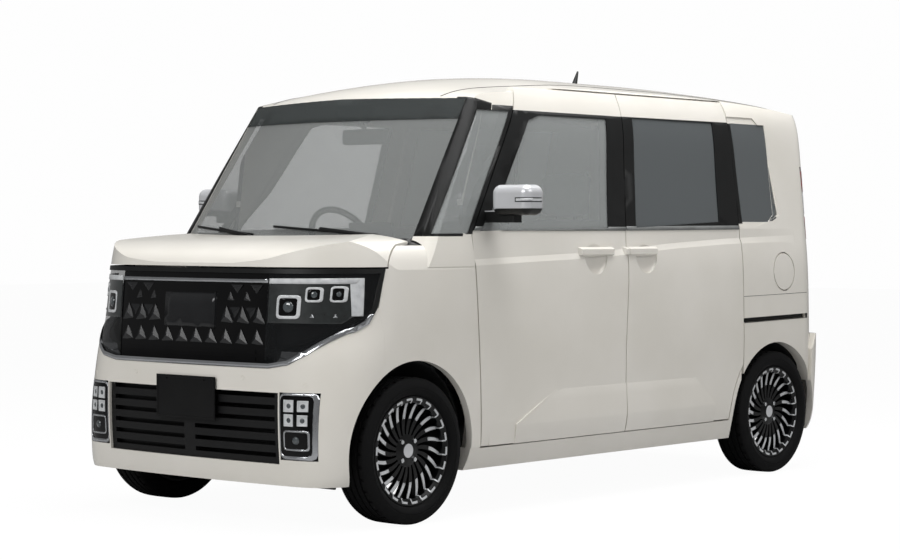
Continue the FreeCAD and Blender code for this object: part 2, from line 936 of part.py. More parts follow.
def drafted_block(outline, drafted):
    """Block through the car's left side whose edges lean in towards the middle."""
    outer = [V(x, g.draft_face_y, z) for x, z in outline]
    inner_y = g.draft_face_y - g.draft_depth
    inner = [V(x, inner_y, z) for x, z in drafted]
    wires = [Part.makePolygon(points + [points[0]]) for points in (outer, inner)]
    return Part.makeLoft(wires, True, True)


half_gap = g.shut_gap / 2
FRONT_EDGE = [
    (g.fender_low_x, g.door_low_z),
    (g.fender_hip_x, g.door_hip_z),
    (g.fender_waist_x, g.door_waist_z),
    (g.fender_belt_x, g.door_belt_z),
    (g.pillar_mid_x, g.pillar_mid_z),
    (g.pillar_top_x, g.door_top_z),
]
MIDDLE_EDGE = [
    (g.middle_top_x, g.door_top_z),
    (g.middle_belt_x, g.door_belt_z),
    (g.middle_waist_x, g.door_waist_z),
    (g.middle_hip_x, g.door_hip_z),
    (g.middle_low_x, g.door_low_z),
]
REAR_EDGE = [
    (g.rear_hip_x, g.door_low_z),
    (g.rear_hip_x, g.door_waist_z),
    (g.rear_top_x, g.door_top_z),
]


def drafted(points):
    return [(x + g.edge_draft, z) for x, z in points]


def front_door_block(size):
    """Block of the front door's outline, smaller by size all round."""
    outer = inset(FRONT_EDGE + MIDDLE_EDGE, size)
    inner = inset(FRONT_EDGE + drafted(MIDDLE_EDGE), size)
    return drafted_block(outer, inner)


def slide_door_block(size):
    """Block of the sliding door's outline, smaller by size all round."""
    front = list(reversed(MIDDLE_EDGE))
    outer = inset(front + list(reversed(REAR_EDGE)), size)
    inner = inset(drafted(front) + list(reversed(REAR_EDGE)), size)
    return drafted_block(outer, inner)


FRONT_GLASS = [
    (g.front_glass_nose_x, g.front_glass_nose_z),
    (g.front_glass_knee_x, g.front_glass_knee_z),
    (g.front_glass_brow_x, g.front_glass_brow_z),
    (g.front_glass_top_x, g.front_glass_top_z),
    (g.front_glass_rear_top_x, g.front_glass_top_z),
    (g.front_glass_rear_x, g.front_glass_rear_z),
]
SLIDE_GLASS = [
    (g.slide_glass_front_x, g.slide_glass_low_z),
    (g.slide_glass_front_top_x, g.slide_glass_top_z),
    (g.slide_glass_rear_top_x, g.slide_glass_top_z),
    (g.slide_glass_rear_x, g.slide_glass_rear_z),
]
QUARTER_GLASS = [
    (g.quarter_front_x, g.quarter_low_z),
    (g.quarter_front_x, g.quarter_top_z),
    (g.quarter_rear_top_x, g.quarter_top_z),
    (g.quarter_rear_x, g.quarter_rear_z),
    (g.quarter_foot_x, g.quarter_low_z),
]
FIX_GLASS = [
    (g.fix_nose_x, g.fix_low_z),
    (g.fix_nose_top_x, g.fix_top_z),
    (g.fix_rear_top_x, g.fix_top_z),
    (g.fix_rear_x, g.fix_low_z),
]
SCREEN_GLASS = [
    (g.screen_base_half, g.screen_base_z),
    (g.screen_top_half, g.screen_top_z),
    (0, g.screen_head_z),
    (-g.screen_top_half, g.screen_top_z),
    (-g.screen_base_half, g.screen_base_z),
    (-g.screen_base_half, g.screen_foot_z),
    (g.screen_base_half, g.screen_foot_z),
]
wide = g.hip_half + over


def half_block(outline):
    """Block of a side outline through the car's left half."""
    return side_block(outline, g.well_inner_y, wide)


roof = roof_solid(0)
low_x = g.tail_x - over
high_x = g.nose_x + over
high_z = g.peak_z + over
arch_front = rod_y(g.front_axle_x, g.arch_front_z, g.arch_radius, g.well_inner_y, wide)
arch_rear = rod_y(rear_axle_x, g.arch_rear_z, g.arch_rear_radius, g.rear_well_inner_y, wide)
lip_radius = g.arch_rear_radius + g.arch_lip + g.shut_gap
arch_rear_lip = rod_y(rear_axle_x, g.arch_rear_z, lip_radius, g.rear_well_inner_y, wide)


def both(shape):
    """The shape and its twin on the other side of the car, in one node."""
    return Part.makeCompound([shape, mirrored(shape)])


def side_layer(outer, inner, low, high):
    """A layer of the body side between two depths and two cross planes."""
    block = side_solid(outer, low, high)
    return block.cut(side_solid(inner, low - over, high + over))


def tail_body(depth):
    """The tail above its bumper, with roof and rounded rear edge, set in by depth."""
    block = tail_solid(depth, g.tail_wall_x, TAIL_ROUND)
    return block.common(roof_solid(depth)).cut(roof_edge_waste(depth))


def screen_body(depth):
    """The glasshouse under the roof surface, down to the windscreen's foot."""
    fore = box((0, -wide, 0), (high_x, wide, g.brow_low_z))
    return screen_solid(depth).common(roof_solid(depth).fuse(fore))


def nose_layer(outer, inner):
    return nose_solid(outer).cut(nose_solid(inner))


def ruled(stations):
    """A long solid with straight walls between closed outlines along the car."""
    return Part.makeLoft([Part.makePolygon(points + [points[0]]) for points in stations], True, True)


# shoulder crease: a ledge that rises along the side, and the belt above it set in
CREASE = [
    (g.crease_nose_x, g.crease_nose_z),
    (g.crease_fender_x, g.crease_fender_z),
    (g.crease_front_x, g.crease_front_z),
    (g.crease_mid_x, g.crease_mid_z),
    (g.crease_rise_x, g.crease_rise_z),
    (g.crease_rear_x, g.crease_rear_z),
    (g.crease_tail_x, g.crease_tail_z),
]


def crease_station(place, z, deep):
    """Outline of what is cut away above the crease at one place along the car."""
    edge, inner = half_at(z), half_at(z + g.crease_fall) - deep
    return [
        V(place, 2 * edge - inner, z - g.crease_fall),
        V(place, inner, z + g.crease_fall),
        V(place, half_at(g.crease_fade_z) + g.panel_gap, g.crease_fade_z),
        V(place, wide, g.crease_fade_z),
        V(place, wide, z - g.crease_fall),
    ]


crease_cut = ruled([
    crease_station(place, z, g.crease_deep if 0 < index < len(CREASE) - 1 else g.panel_gap)
    for index, (place, z) in enumerate(CREASE)
])

# lower door pressing: the skin swells outwards below a long line
PRESSING = [
    (g.press_nose_x, g.press_nose_top_z, g.press_nose_low_z),
    (g.press_rise_x, g.press_rise_top_z, g.press_rise_low_z),
    (g.press_front_x, g.press_front_top_z, g.press_front_low_z),
    (g.press_mid_x, g.press_mid_top_z, g.press_mid_low_z),
    (g.press_rear_x, g.press_rear_top_z, g.press_rear_low_z),
    (g.press_tail_x, g.press_tail_top_z, g.press_tail_low_z),
]


def pressing_station(place, top, low, stand):
    """Outline of the swelling at one place along the car."""
    return [
        V(place, half_at(top) - g.panel_gap, top),
        V(place, half_at(low) + stand, low),
        V(place, half_at(g.door_low_z) + stand, g.door_low_z),
        V(place, half_at(g.door_low_z) - g.press_root, g.door_low_z),
        V(place, half_at(top) - g.press_root, top),
    ]


pressing = ruled([
    pressing_station(place, top, low, g.press_stand if 0 < index < len(PRESSING) - 1 else g.panel_gap)
    for index, (place, top, low) in enumerate(PRESSING)
])


def scoop(x):
    """Shallow bowl behind a door handle."""
    matrix = FreeCAD.Matrix()
    matrix.scale(g.scoop_half_long, g.scoop_deep, g.scoop_half_high)
    matrix.move(x, half_at(g.scoop_z), g.scoop_z)
    return Part.makeSphere(1).transformGeometry(matrix)


def handle(x):
    """Pull handle across its bowl, with sloped edges."""
    base_y = half_at(g.handle_z) - g.handle_sink / 2
    face_y = half_at(g.handle_z) + g.handle_stand
    outlines = []
    for y, taper in ((base_y, 0), (face_y, g.handle_taper)):
        long, high = g.handle_long / 2 - taper, g.handle_high / 2 - taper
        outlines.append([V(x - long, y, g.handle_z - high), V(x + long, y, g.handle_z - high),
                         V(x + long, y, g.handle_z + high), V(x - long, y, g.handle_z + high)])
    return ruled(outlines)


# doors: the skin and frame in one wall, open at the window
door_skin = side_layer(0, g.door_wall, g.rear_top_x - over, g.fender_belt_x + over).cut(crease_cut)
door_skin = door_skin.cut([scoop(g.scoop_front_x), scoop(g.scoop_rear_x)])
door_skin = door_skin.fuse([pressing, handle(g.handle_front_x), handle(g.handle_rear_x)])
front_door = door_skin.common(front_door_block(half_gap)).cut(half_block(FRONT_GLASS))
slide_door = door_skin.common(slide_door_block(half_gap)).cut(half_block(SLIDE_GLASS))
front_door = biggest(front_door)
slide_door = biggest(slide_door.cut(arch_rear_lip))

# side glass, each pane let into its opening
low_glass = g.glass_inset + g.glass_wall


def pane(layer, outline):
    return biggest(layer.common(half_block(inset(outline, g.glass_seat))))


side_glass = side_layer(g.glass_inset, low_glass, g.rear_top_x, g.fender_belt_x)
front_glass = pane(side_glass, FRONT_GLASS)
slide_glass = pane(side_glass, SLIDE_GLASS)
fix_glass = pane(screen_solid(g.glass_inset).cut(screen_solid(low_glass)), FIX_GLASS)
tail_glass = tail_solid(g.glass_inset, g.tail_wall_x, TAIL_ROUND)
tail_glass = tail_glass.cut(tail_solid(low_glass, g.tail_wall_x, TAIL_ROUND))
quarter_glass = pane(tail_glass, QUARTER_GLASS)
screen_out = screen_body(g.screen_inset)
screen_mid = screen_solid(g.screen_inset + g.screen_wall)
windshield = screen_out.common(front_block(inset(SCREEN_GLASS, g.glass_seat), g.dash_rear_x, high_x))
windshield = biggest(windshield.cut(screen_mid))

# body side: sill, pillars, roof rail, rear quarter and wheel arch in one wall
tail_outer = tail_body(0)
tail_inner = tail_body(g.side_wall)
screen_outer = screen_body(0)
screen_inner = screen_body(g.side_wall)
quarter = tail_outer.common(box((low_x, g.roof_edge_half + g.panel_gap, 0), (g.join_x, wide, high_z)))
quarter = quarter.cut(tail_inner)
gate_cut = box((low_x, 0, 0), (g.gate_top_x + g.shut_gap, g.gate_half + g.shut_gap, high_z))
quarter = quarter.cut(gate_cut)
bumper_cut = side_block([
    (low_x, 0),
    (g.bumper_side_x + g.panel_gap, 0),
    (g.bumper_side_x + g.panel_gap, g.bumper_side_z + g.panel_gap),
    (g.bumper_end_x + g.panel_gap, g.rear_bumper_top_z + g.panel_gap),
    (low_x, g.rear_bumper_top_z + g.panel_gap),
], 0, wide)
lamp_cut = box((low_x, g.lamp_half - g.panel_gap, g.lamp_low_z - g.panel_gap),
               (g.lamp_front_x + g.panel_gap, wide, g.lamp_top_z + g.panel_gap))
quarter = quarter.cut(bumper_cut).cut(lamp_cut).cut(crease_cut)
rail = screen_outer.common(box((g.join_x, g.roof_edge_half + g.panel_gap, g.hood_edge_z), (high_x, wide,
                                                                                           high_z)))
rail = rail.cut(screen_inner).cut(nose_solid(-g.panel_gap))
rail = rail.cut(front_block(SCREEN_GLASS, g.dash_rear_x, high_x)).cut(half_block(FIX_GLASS))
sill_end = g.front_axle_x
sill = side_layer(0, g.side_wall, g.join_x, sill_end)
sill = sill.common(box((g.join_x, g.well_inner_y, g.sill_z - over), (sill_end, wide,
                                                                     g.door_low_z + g.panel_gap)))
jamb = side_layer(g.side_wall - g.panel_gap, g.jamb_wall, g.join_x, g.fender_belt_x - g.jamb_lap)
jamb = jamb.common(box((g.join_x, g.well_inner_y, g.sill_z), (g.fender_belt_x, wide,
                                                              g.door_top_z + g.jamb_lap)))
lower_body = side_solid(0, g.join_x, g.fender_belt_x).common(box((low_x, 0, 0), (high_x, wide,
                                                                                 g.door_belt_z)))
jamb = jamb.common(screen_solid(g.side_wall - g.panel_gap).fuse(lower_body))
jamb = jamb.common(roof_solid(g.side_wall - g.panel_gap))
body_side = quarter.fuse([rail, sill])
body_side = body_side.cut(front_door_block(-half_gap)).cut(slide_door_block(-half_gap))
lip_disc = rod_y(rear_axle_x, g.arch_rear_z, g.arch_rear_radius + g.arch_lip, g.rear_well_inner_y, wide)
lip = side_layer(0, g.side_wall, g.join_x, g.heel_x).common(lip_disc)
body_side = body_side.fuse(lip).cut(half_block(QUARTER_GLASS)).cut(arch_rear).cut(arch_front)
RAIL_SLOT = [
    (g.slot_front_x, g.slot_front_low_z),
    (g.slot_front_x, g.slot_front_top_z),
    (g.slot_rear_x, g.slot_rear_top_z),
    (g.slot_rear_x, g.slot_rear_low_z),
]
GLASS_RECESS = [
    (g.rear_hip_x, g.recess_top_z),
    (g.recess_top_x, g.recess_top_z),
    (g.recess_back_x, g.recess_back_z),
    (g.recess_foot_x, g.recess_foot_z),
    (g.recess_low_x, g.recess_low_z),
    (g.rear_hip_x, g.recess_low_z),
]
rail_slot = half_block(RAIL_SLOT).cut(tail_solid(g.slot_deep, g.tail_wall_x, TAIL_ROUND))
glass_recess = half_block(GLASS_RECESS).cut(tail_solid(g.recess_deep, g.tail_wall_x, TAIL_ROUND))
body_side = body_side.cut([rail_slot, glass_recess])
liner_hole = rod_y(rear_axle_x, g.arch_rear_z, g.arch_rear_radius + g.liner_wall + g.panel_gap,
                   g.rear_well_inner_y, wide)
jamb = jamb.cut(front_door_block(g.jamb_lap)).cut(slide_door_block(g.jamb_lap)).cut(liner_hole)

# hinge leaves, strikers and runner seats reach out from the jamb to the doors
leaf_layer = side_layer(g.door_wall + g.panel_gap, g.side_wall, g.join_x - over, g.fender_belt_x)
front_ring = front_door_block(half_gap).cut(front_door_block(g.jamb_lap))
slide_ring = slide_door_block(half_gap).cut(slide_door_block(g.jamb_lap))
leaves = []
for leaf_z in (g.leaf_low_z, g.leaf_high_z):
    band = leaf_layer.common(box((g.join_x - over, 0, leaf_z), (g.fender_belt_x, wide,
                                                                leaf_z + g.leaf_tall)))
    leaves += [band.common(front_ring), band.common(slide_ring)]
jamb = jamb.fuse(leaves)

# front panels: all cut from one shell of the nose
FACE_SIDE = [
    (g.face_end_x, g.hood_edge_z - half_gap),
    (g.face_back_x, g.face_back_z),
    (g.face_wing_x, g.face_wing_z),
    (g.face_side_x, g.face_side_z),
    (g.face_rise_x, g.face_rise_z),
    (g.face_drop_x, g.intake_top_z),
    (high_x, g.intake_top_z),
    (high_x, g.hood_edge_z - half_gap),
]
FACE_FRONT_LEFT = [
    (g.face_mid_half, g.face_mid_z),
    (g.face_turn_half, g.face_turn_z),
    (g.face_rise_half, g.face_rise_z),
    (g.face_side_half, g.face_side_z),
    (wide, g.face_back_z),
    (wide, g.hood_edge_z - half_gap),
]
FACE_FRONT = FACE_FRONT_LEFT + [(-y, z) for y, z in reversed(FACE_FRONT_LEFT)]


def face_block(size):
    """Block of the black face between the lamps, smaller by size all round."""
    side = side_block(inset(FACE_SIDE, size), -wide, wide)
    return side.common(front_block(inset(FACE_FRONT, size), g.front_axle_x, high_x))


def fog_block(size):
    return box((g.front_axle_x, g.intake_half + g.shut_gap + size, g.fog_low_z + size),
               (high_x, g.fog_half - size, g.fog_top_z - size))


nose_outer = nose_solid(0)
nose_inner = nose_solid(g.panel_wall)
nose_shell = nose_outer.cut(nose_inner)
intake = box((g.front_axle_x, -g.intake_half, g.intake_low_z), (high_x, g.intake_half, g.intake_top_z))
BUMPER_SIDE = [
    (g.fender_front_x, g.chin_z + g.panel_wall),
    (high_x, g.chin_z + g.panel_wall),
    (high_x, g.hood_edge_z - g.shut_gap),
    (g.face_back_x - g.shut_gap, g.face_back_z),
    (g.fender_front_x, g.face_side_z),
]
bumper = nose_shell.common(side_block(BUMPER_SIDE, -wide, wide)).cut(face_block(-g.frame_gap))
bumper = bumper.cut(intake).cut(fog_block(0)).cut(mirrored(fog_block(0)))
bumper = bumper.cut(arch_front).cut(mirrored(arch_front))
bumper = biggest(bumper)

grille_layer = nose_solid(g.grille_depth).cut(nose_solid(g.grille_depth + g.grille_wall))
middle = box((g.front_axle_x, -g.lamp_inner_half, 0), (high_x, g.lamp_inner_half, high_z))
grille = biggest(grille_layer.common(face_block(g.face_chrome + g.panel_gap)).common(middle))
chrome = nose_solid(-g.chrome_stand).cut(nose_inner)
chrome = chrome.common(face_block(0)).cut(face_block(g.face_chrome))
hood_stop = nose_solid(g.stop_depth).cut(nose_inner)
hood_stop = hood_stop.common(box((g.front_axle_x, -g.stop_half, g.hood_edge_z - g.face_chrome),
                                 (high_x, g.stop_half, g.hood_edge_z + half_gap - g.panel_gap)))
chrome = biggest(chrome.fuse(hood_stop))
lamp_layer = nose_solid(g.lamp_depth).cut(nose_solid(g.lamp_body))
lamp = lamp_layer.common(face_block(g.face_chrome + g.panel_gap))
lamp = biggest(lamp.cut(box((0, -wide, 0), (high_x, g.lamp_inner_half + g.panel_gap, high_z))))


def face_x(y, z):
    """Where the face of the car stands at a height and a width."""
    probe = line(V(g.front_axle_x, y, z), V(high_x, y, z)).common(nose_outer)
    return max(corner.X for corner in probe.Vertexes)


def facet(corners):
    """A low three-sided pyramid of the grille over its corner pairs."""
    base = [V(face_x(y, z) - g.grille_depth - g.facet_sink, y, z) for y, z in corners]
    mid_y = sum(y for y, z in corners) / len(corners)
    mid_z = sum(z for y, z in corners) / len(corners)
    tip = V(face_x(mid_y, mid_z) - g.grille_depth + g.facet_stand / 2, mid_y, mid_z)
    triples = [base, [base[0], base[1], tip], [base[1], base[2], tip], [base[2], base[0], tip]]
    faces = [Part.Face(Part.makePolygon(three + [three[0]])) for three in triples]
    return Part.Solid(Part.Shell(faces))


def upright_facet(mid, half, low, high):
    """A facet that stands on its base, or hangs from it where high is negative."""
    return facet([(mid - half, low), (mid + half, low), (mid, low + high)])


# faceted grille: three rows of small pyramids, a raised plain field and two bars
low_pitch = 2 * g.low_row_half / g.low_row_count
low_half = low_pitch / 2 - g.row_gap / 2
facets = []
for index in range(1, int(g.low_row_count) - 1):
    mid = -g.low_row_half + (index + 0.5) * low_pitch
    facets.append(upright_facet(mid, low_half, g.low_row_z, g.low_row_high))
for index in range(3):
    mid = g.mid_row_start + (index + 0.5) * g.mid_row_pitch
    half = g.mid_row_pitch / 2 - g.row_gap / 2
    facets.append(upright_facet(mid, half, g.mid_row_z, g.mid_row_high))
    facets.append(upright_facet(-mid, half, g.mid_row_z, g.mid_row_high))
for index in range(2):
    mid = g.top_row_start + (index + 0.5) * g.top_row_pitch
    half = g.top_row_pitch / 3
    facets.append(upright_facet(mid, half, g.top_row_z, -g.top_row_high))
    facets.append(upright_facet(-mid, half, g.top_row_z, -g.top_row_high))
field_layer = nose_solid(g.grille_depth - g.plain_stand).cut(nose_solid(g.grille_depth + g.facet_sink))
fields = [box((g.front_axle_x, -g.plain_half, g.plain_low_z), (high_x, g.plain_half, g.plain_top_z))]
for index in range(2):
    low = g.bar_low_z + index * g.bar_pitch
    fields.append(box((g.front_axle_x, -g.bar_half, low), (high_x, g.bar_half, low + g.bar_high)))
grille = biggest(grille.fuse(facets + [field_layer.common(field) for field in fields]))
outer_mid = g.low_row_half - low_pitch / 2
lamp = biggest(lamp.fuse(upright_facet(outer_mid, low_half - g.row_gap / 2, g.low_row_z, g.low_row_high)))
fog_layer = nose_solid(g.lamp_depth).cut(nose_solid(g.lamp_body))
fog = biggest(fog_layer.common(fog_block(g.panel_gap)))
lower_grille = nose_solid(g.lower_grille_depth).cut(nose_solid(g.lower_grille_depth + g.grille_wall))
lower_grille = lower_grille.common(box((g.front_axle_x, -g.intake_half + g.panel_gap,
                                        g.intake_low_z + g.panel_gap),
                                       (high_x, g.intake_half - g.panel_gap, g.intake_top_z - g.panel_gap)))
slot_pitch = (g.intake_top_z - g.intake_low_z) / g.slat_count
for index in range(int(g.slat_count)):
    low = g.intake_low_z + (index + g.slat_share) * slot_pitch
    high = g.intake_low_z + (index + 1) * slot_pitch
    for side in (-1, 1):
        start = min(side * g.slot_start, side * g.slot_end)
        end = max(side * g.slot_start, side * g.slot_end)
        lower_grille = lower_grille.cut(box((0, start, low), (high_x, end, high - g.panel_wall / 10)))
lower_grille = biggest(lower_grille)


def hood_plan(size):
    """Plan block of the hood with its bowed rear edge, smaller by size all round."""
    half, corner = g.hood_rear_half - size, g.hood_corner_x - size
    rear = g.hood_rear_x + size
    low = g.hood_edge_z + size
    points = {
        "rear": V(rear, half, low),
        "side": V(g.hood_side_x, g.hood_side_half - size, low),
        "corner": V(corner, g.shoulder_half - size, low),
        "step": V(corner, wide, low),
        "front": V(high_x, wide, low),
    }

    def other(point):
        return V(point.x, -point.y, point.z)

    order = ["rear", "side", "corner", "step", "front"]
    left = [line(points[a], points[b]) for a, b in zip(order, order[1:])]
    right = [line(other(points[b]), other(points[a])) for a, b in zip(order, order[1:])]
    bow = Part.Arc(other(points["rear"]), V(rear + g.hood_rear_bow, 0, low), points["rear"]).toShape()
    front = line(points["front"], other(points["front"]))
    face = Part.Face(Part.Wire([bow] + left + [front] + list(reversed(right))))
    return face.extrude(V(0, 0, high_z - low))


hood = nose_outer.cut(nose_solid(g.hood_wall)).common(hood_plan(half_gap))
hood = biggest(hood)
FENDER_SIDE = FRONT_EDGE[:4] + [
    (g.fender_belt_x, high_z),
    (g.hood_corner_x + half_gap, high_z),
    (g.face_end_x - g.panel_gap, g.hood_edge_z),
    (g.face_back_x - g.shut_gap, g.face_back_z),
    (g.fender_front_x, g.face_side_z),
    (g.fender_front_x, g.door_low_z),
]
fender_side = inset(FENDER_SIDE, g.panel_gap)
fender = nose_shell.common(side_block(fender_side, g.well_inner_y, wide))
fender = fender.cut(front_door_block(-half_gap)).cut(hood_plan(-half_gap))
fender = fender.cut(arch_front).cut(face_block(-g.frame_gap)).cut(crease_cut)
under_screen = box((0, 0, g.shoulder_z - over), (g.hood_corner_x, g.hood_rear_half + g.side_wall / 2,
                                                 high_z))
fender = biggest(fender.cut(under_screen))

# rear bumper, proud of the tailgate above it
BUMPER_REAR = [
    (low_x, g.sill_z - over),
    (g.bumper_side_x, g.sill_z - over),
    (g.bumper_side_x, g.bumper_side_z),
    (g.bumper_end_x, g.rear_bumper_top_z),
    (low_x, g.rear_bumper_top_z),
]
rear_bumper = tail_solid(0, g.tail_x, BUMPER_ROUND)
rear_bumper = rear_bumper.common(side_block(BUMPER_REAR, -wide, wide))
rear_bumper = rear_bumper.cut(tail_solid(g.panel_wall, g.tail_x, BUMPER_ROUND))
rear_bumper = biggest(rear_bumper.cut(arch_rear).cut(mirrored(arch_rear)))

# tailgate with its window, and what it carries
gate_box = box((low_x, -g.gate_half, g.gate_low_z), (g.gate_top_x, g.gate_half, high_z))
gate_window = front_block([
    (g.gate_glass_half, g.gate_glass_low_z),
    (g.gate_glass_top_half, g.gate_glass_top_z),
    (-g.gate_glass_top_half, g.gate_glass_top_z),
    (-g.gate_glass_half, g.gate_glass_low_z),
], low_x, g.gate_top_x)
tailgate = tail_outer.common(gate_box).cut(tail_body(g.gate_wall)).cut(gate_window)
barrel_radius = half_gap - g.panel_gap
gate_hinge_x = g.gate_top_x + half_gap
barrel = rod_y(gate_hinge_x, g.gate_hinge_z, barrel_radius, g.gate_barrel_low, g.gate_barrel_high)
web = box((g.gate_top_x - g.gate_wall / 2, g.gate_barrel_low, g.gate_hinge_z - barrel_radius / 2),
          (gate_hinge_x, g.gate_barrel_high, g.gate_hinge_z))
barrel = barrel.fuse(web)
tailgate = biggest(tailgate.fuse([barrel, mirrored(barrel)]))
gate_pane = front_block(inset([
    (g.gate_glass_half, g.gate_glass_low_z),
    (g.gate_glass_top_half, g.gate_glass_top_z),
    (-g.gate_glass_top_half, g.gate_glass_top_z),
    (-g.gate_glass_half, g.gate_glass_low_z),
], g.glass_seat), low_x, g.gate_top_x)
gate_glass = box((g.tail_wall_x + g.glass_inset, -g.gate_half, g.belt_z - over),
                 (g.tail_wall_x + low_glass, g.gate_half, g.lintel_z)).common(gate_pane)

# roof panel between the two rails
roof_shell = roof.cut(roof_solid(g.roof_wall))
roof_shell = roof_shell.common(box((g.gate_top_x + g.shut_gap, -g.roof_edge_half, g.glass_z),
                                   (high_x, g.roof_edge_half, high_z)))
roof_panel = roof_shell.common(screen_solid(0).fuse(tail_solid(0, g.tail_wall_x, TAIL_ROUND)))
roof_panel = biggest(roof_panel.cut(front_block(SCREEN_GLASS, g.dash_rear_x, high_x)))

# cowl between hood and windscreen
cowl = nose_solid(g.cowl_depth).cut(nose_solid(g.cowl_depth + g.grille_wall))
cowl_area = box((g.firewall_x, -g.hood_side_half, g.shoulder_z), (high_x, g.hood_side_half, high_z))
cowl = cowl.common(cowl_area).cut(screen_solid(g.screen_inset - g.panel_gap)).cut(hood_plan(-half_gap))
pillar_box = box((0, g.screen_base_half - g.panel_gap, 0), (high_x, wide, high_z))
pillar_foot = screen_solid(-g.panel_gap).common(pillar_box)
cowl = cowl.cut(pillar_foot).cut(mirrored(pillar_foot))
cowl = biggest(cowl.cut(fender).cut(mirrored(fender)))

# tail lamps wrap the rear corners
lamp_box = box((low_x, g.lamp_half, g.lamp_low_z), (g.lamp_front_x, wide, g.lamp_top_z))
rear_lamp = biggest(tail_outer.common(lamp_box).cut(tail_body(g.lamp_wall)))

# fuel lid in its pocket on the left quarter
lid_cutter = rod_y(g.lid_x, g.lid_z, g.lid_radius, g.hip_half / 2, wide)
fuel_lid = biggest(tail_outer.common(lid_cutter).cut(tail_solid(g.lid_wall, g.tail_wall_x, TAIL_ROUND)))
lid_hinge_x = g.lid_x + g.lid_radius + half_gap
lid_barrel = Part.makeCylinder(barrel_radius - g.frame_gap, 2 * g.lid_barrel_half,
                               V(lid_hinge_x, g.lid_hinge_y, g.lid_z - g.lid_barrel_half), Z_AXIS)
lid_web = box((g.lid_x + g.lid_radius - 3 * g.shut_gap, g.lid_hinge_y - barrel_radius,
               g.lid_z - g.lid_barrel_half),
              (lid_hinge_x, g.lid_hinge_y, g.lid_z + g.lid_barrel_half))
fuel_lid = biggest(fuel_lid.fuse([lid_barrel, lid_web]))
pocket = rod_y(g.lid_x, g.lid_z, g.lid_radius + g.shut_gap, g.hip_half / 2, wide)
pocket = pocket.cut(tail_solid(g.pocket_depth, g.tail_wall_x, TAIL_ROUND))

# body sides: quarter, rail, sill and pillars in one wall; the left one holds the fuel lid
side_wall = body_side.fuse(biggest(jamb))
right_side = biggest(side_wall)
left_side = biggest(right_side.cut(pocket))
keep("body_side_left", left_side)
keep("body_side_right", mirrored(right_side))
keep("roof_panel", roof_panel)
keep("hood", hood)
keep("cowl_panel", cowl)
keep("fender_left", fender)
keep("fender_right", mirrored(fender))
keep("front_bumper", bumper)
keep("front_grille", grille)
keep("grille_frame", chrome)
keep("lower_grille", lower_grille)
keep("fog_lamps", both(fog))
keep("headlamp_left", lamp)
keep("headlamp_right", mirrored(lamp))
keep("rear_bumper", rear_bumper)
keep("tailgate", tailgate)
keep("tailgate_glass", gate_glass)
keep("rear_lamps", both(rear_lamp))
keep("fuel_lid", fuel_lid)
keep("front_door_left", front_door)
keep("front_door_right", mirrored(front_door))
keep("front_door_glass_left", front_glass)
keep("front_door_glass_right", mirrored(front_glass))
keep("sliding_door_left", slide_door)
keep("sliding_door_right", mirrored(slide_door))
keep("sliding_door_glass", both(slide_glass))
keep("front_quarter_glass", both(fix_glass))
keep("rear_quarter_glass", both(quarter_glass))
keep("windshield", windshield)

# steering knuckles: hub carrier with its spindle, ball joint and brake caliper
for hand, side in (("left", 1), ("right", -1)):
    name = f"knuckle_{hand}"
    reach = f"{side} * (sizes.half_track - sizes.disc_y - sizes.disc_wall - sizes.shut_gap)"
    carrier = axle_rod(f"{name}_carrier", "sizes.carrier_radius", "sizes.carrier_long",
                       "sizes.front_axle_x",
                       reach + " - sizes.carrier_long" if side > 0 else reach, "sizes.tyre_radius")
    spindle_y = "sizes.half_track - sizes.disc_y - sizes.disc_wall - 2 * sizes.shut_gap"
    spindle = axle_rod(f"{name}_spindle", "sizes.spindle_radius", "sizes.spindle_long",
                       "sizes.front_axle_x",
                       spindle_y if side > 0 else f"-({spindle_y}) - sizes.spindle_long",
                       "sizes.tyre_radius")
    upright = bound("Part::Box", f"{name}_upright",
                    ("sizes.front_axle_x - sizes.upright_wide / 2",
                     f"{side} * sizes.kingpin_y - sizes.upright_deep / 2", "sizes.ball_z"),
                    Length="sizes.upright_wide", Width="sizes.upright_deep",
                    Height="sizes.tyre_radius - sizes.ball_z")
    caliper = bound("Part::Box", f"{name}_caliper",
                    ("sizes.front_axle_x + sizes.upright_wide / 2",
                     f"{side} * sizes.kingpin_y - sizes.upright_deep / 2",
                     "sizes.tyre_radius - sizes.caliper_high / 2"),
                    Length="sizes.caliper_long", Width="sizes.upright_deep", Height="sizes.caliper_high")
    kingpin = bound("Part::Cylinder", f"{name}_kingpin",
                    ("sizes.front_axle_x", f"{side} * sizes.kingpin_y", "sizes.ball_z"),
                    Radius="sizes.kingpin_radius", Height="sizes.kingpin_long")
    joined(name, [carrier, spindle, upright, caliper, kingpin])

# front subframe with its two lower arms and the steering rack
cross = bound("Part::Box", "subframe_cross", ("sizes.subframe_x", "-sizes.subframe_half",
                                              "sizes.subframe_z"),
              Length="sizes.subframe_long", Width="2 * sizes.subframe_half", Height="sizes.subframe_high")
arms = []
for hand, side in (("left", 1), ("right", -1)):
    start = "sizes.subframe_half - sizes.liner_wall"
    length = "sizes.kingpin_y + sizes.upright_deep / 2 - sizes.subframe_half + sizes.liner_wall"
    arms.append(bound("Part::Box", f"lower_arm_{hand}",
                      ("sizes.front_axle_x - sizes.upright_wide / 2",
                       start if side > 0 else f"-({start}) - ({length})",
                       "sizes.ball_z - sizes.arm_high - sizes.panel_gap"),
                      Length="sizes.upright_wide", Width=length, Height="sizes.arm_high"))
rack = axle_rod("steering_rack", "sizes.rack_radius", "2 * sizes.rack_half",
                "sizes.subframe_x + sizes.rack_radius",
                "-sizes.rack_half", "sizes.subframe_z + sizes.subframe_high + sizes.rack_radius / 2")
joined("front_subframe", [cross, rack] + arms)

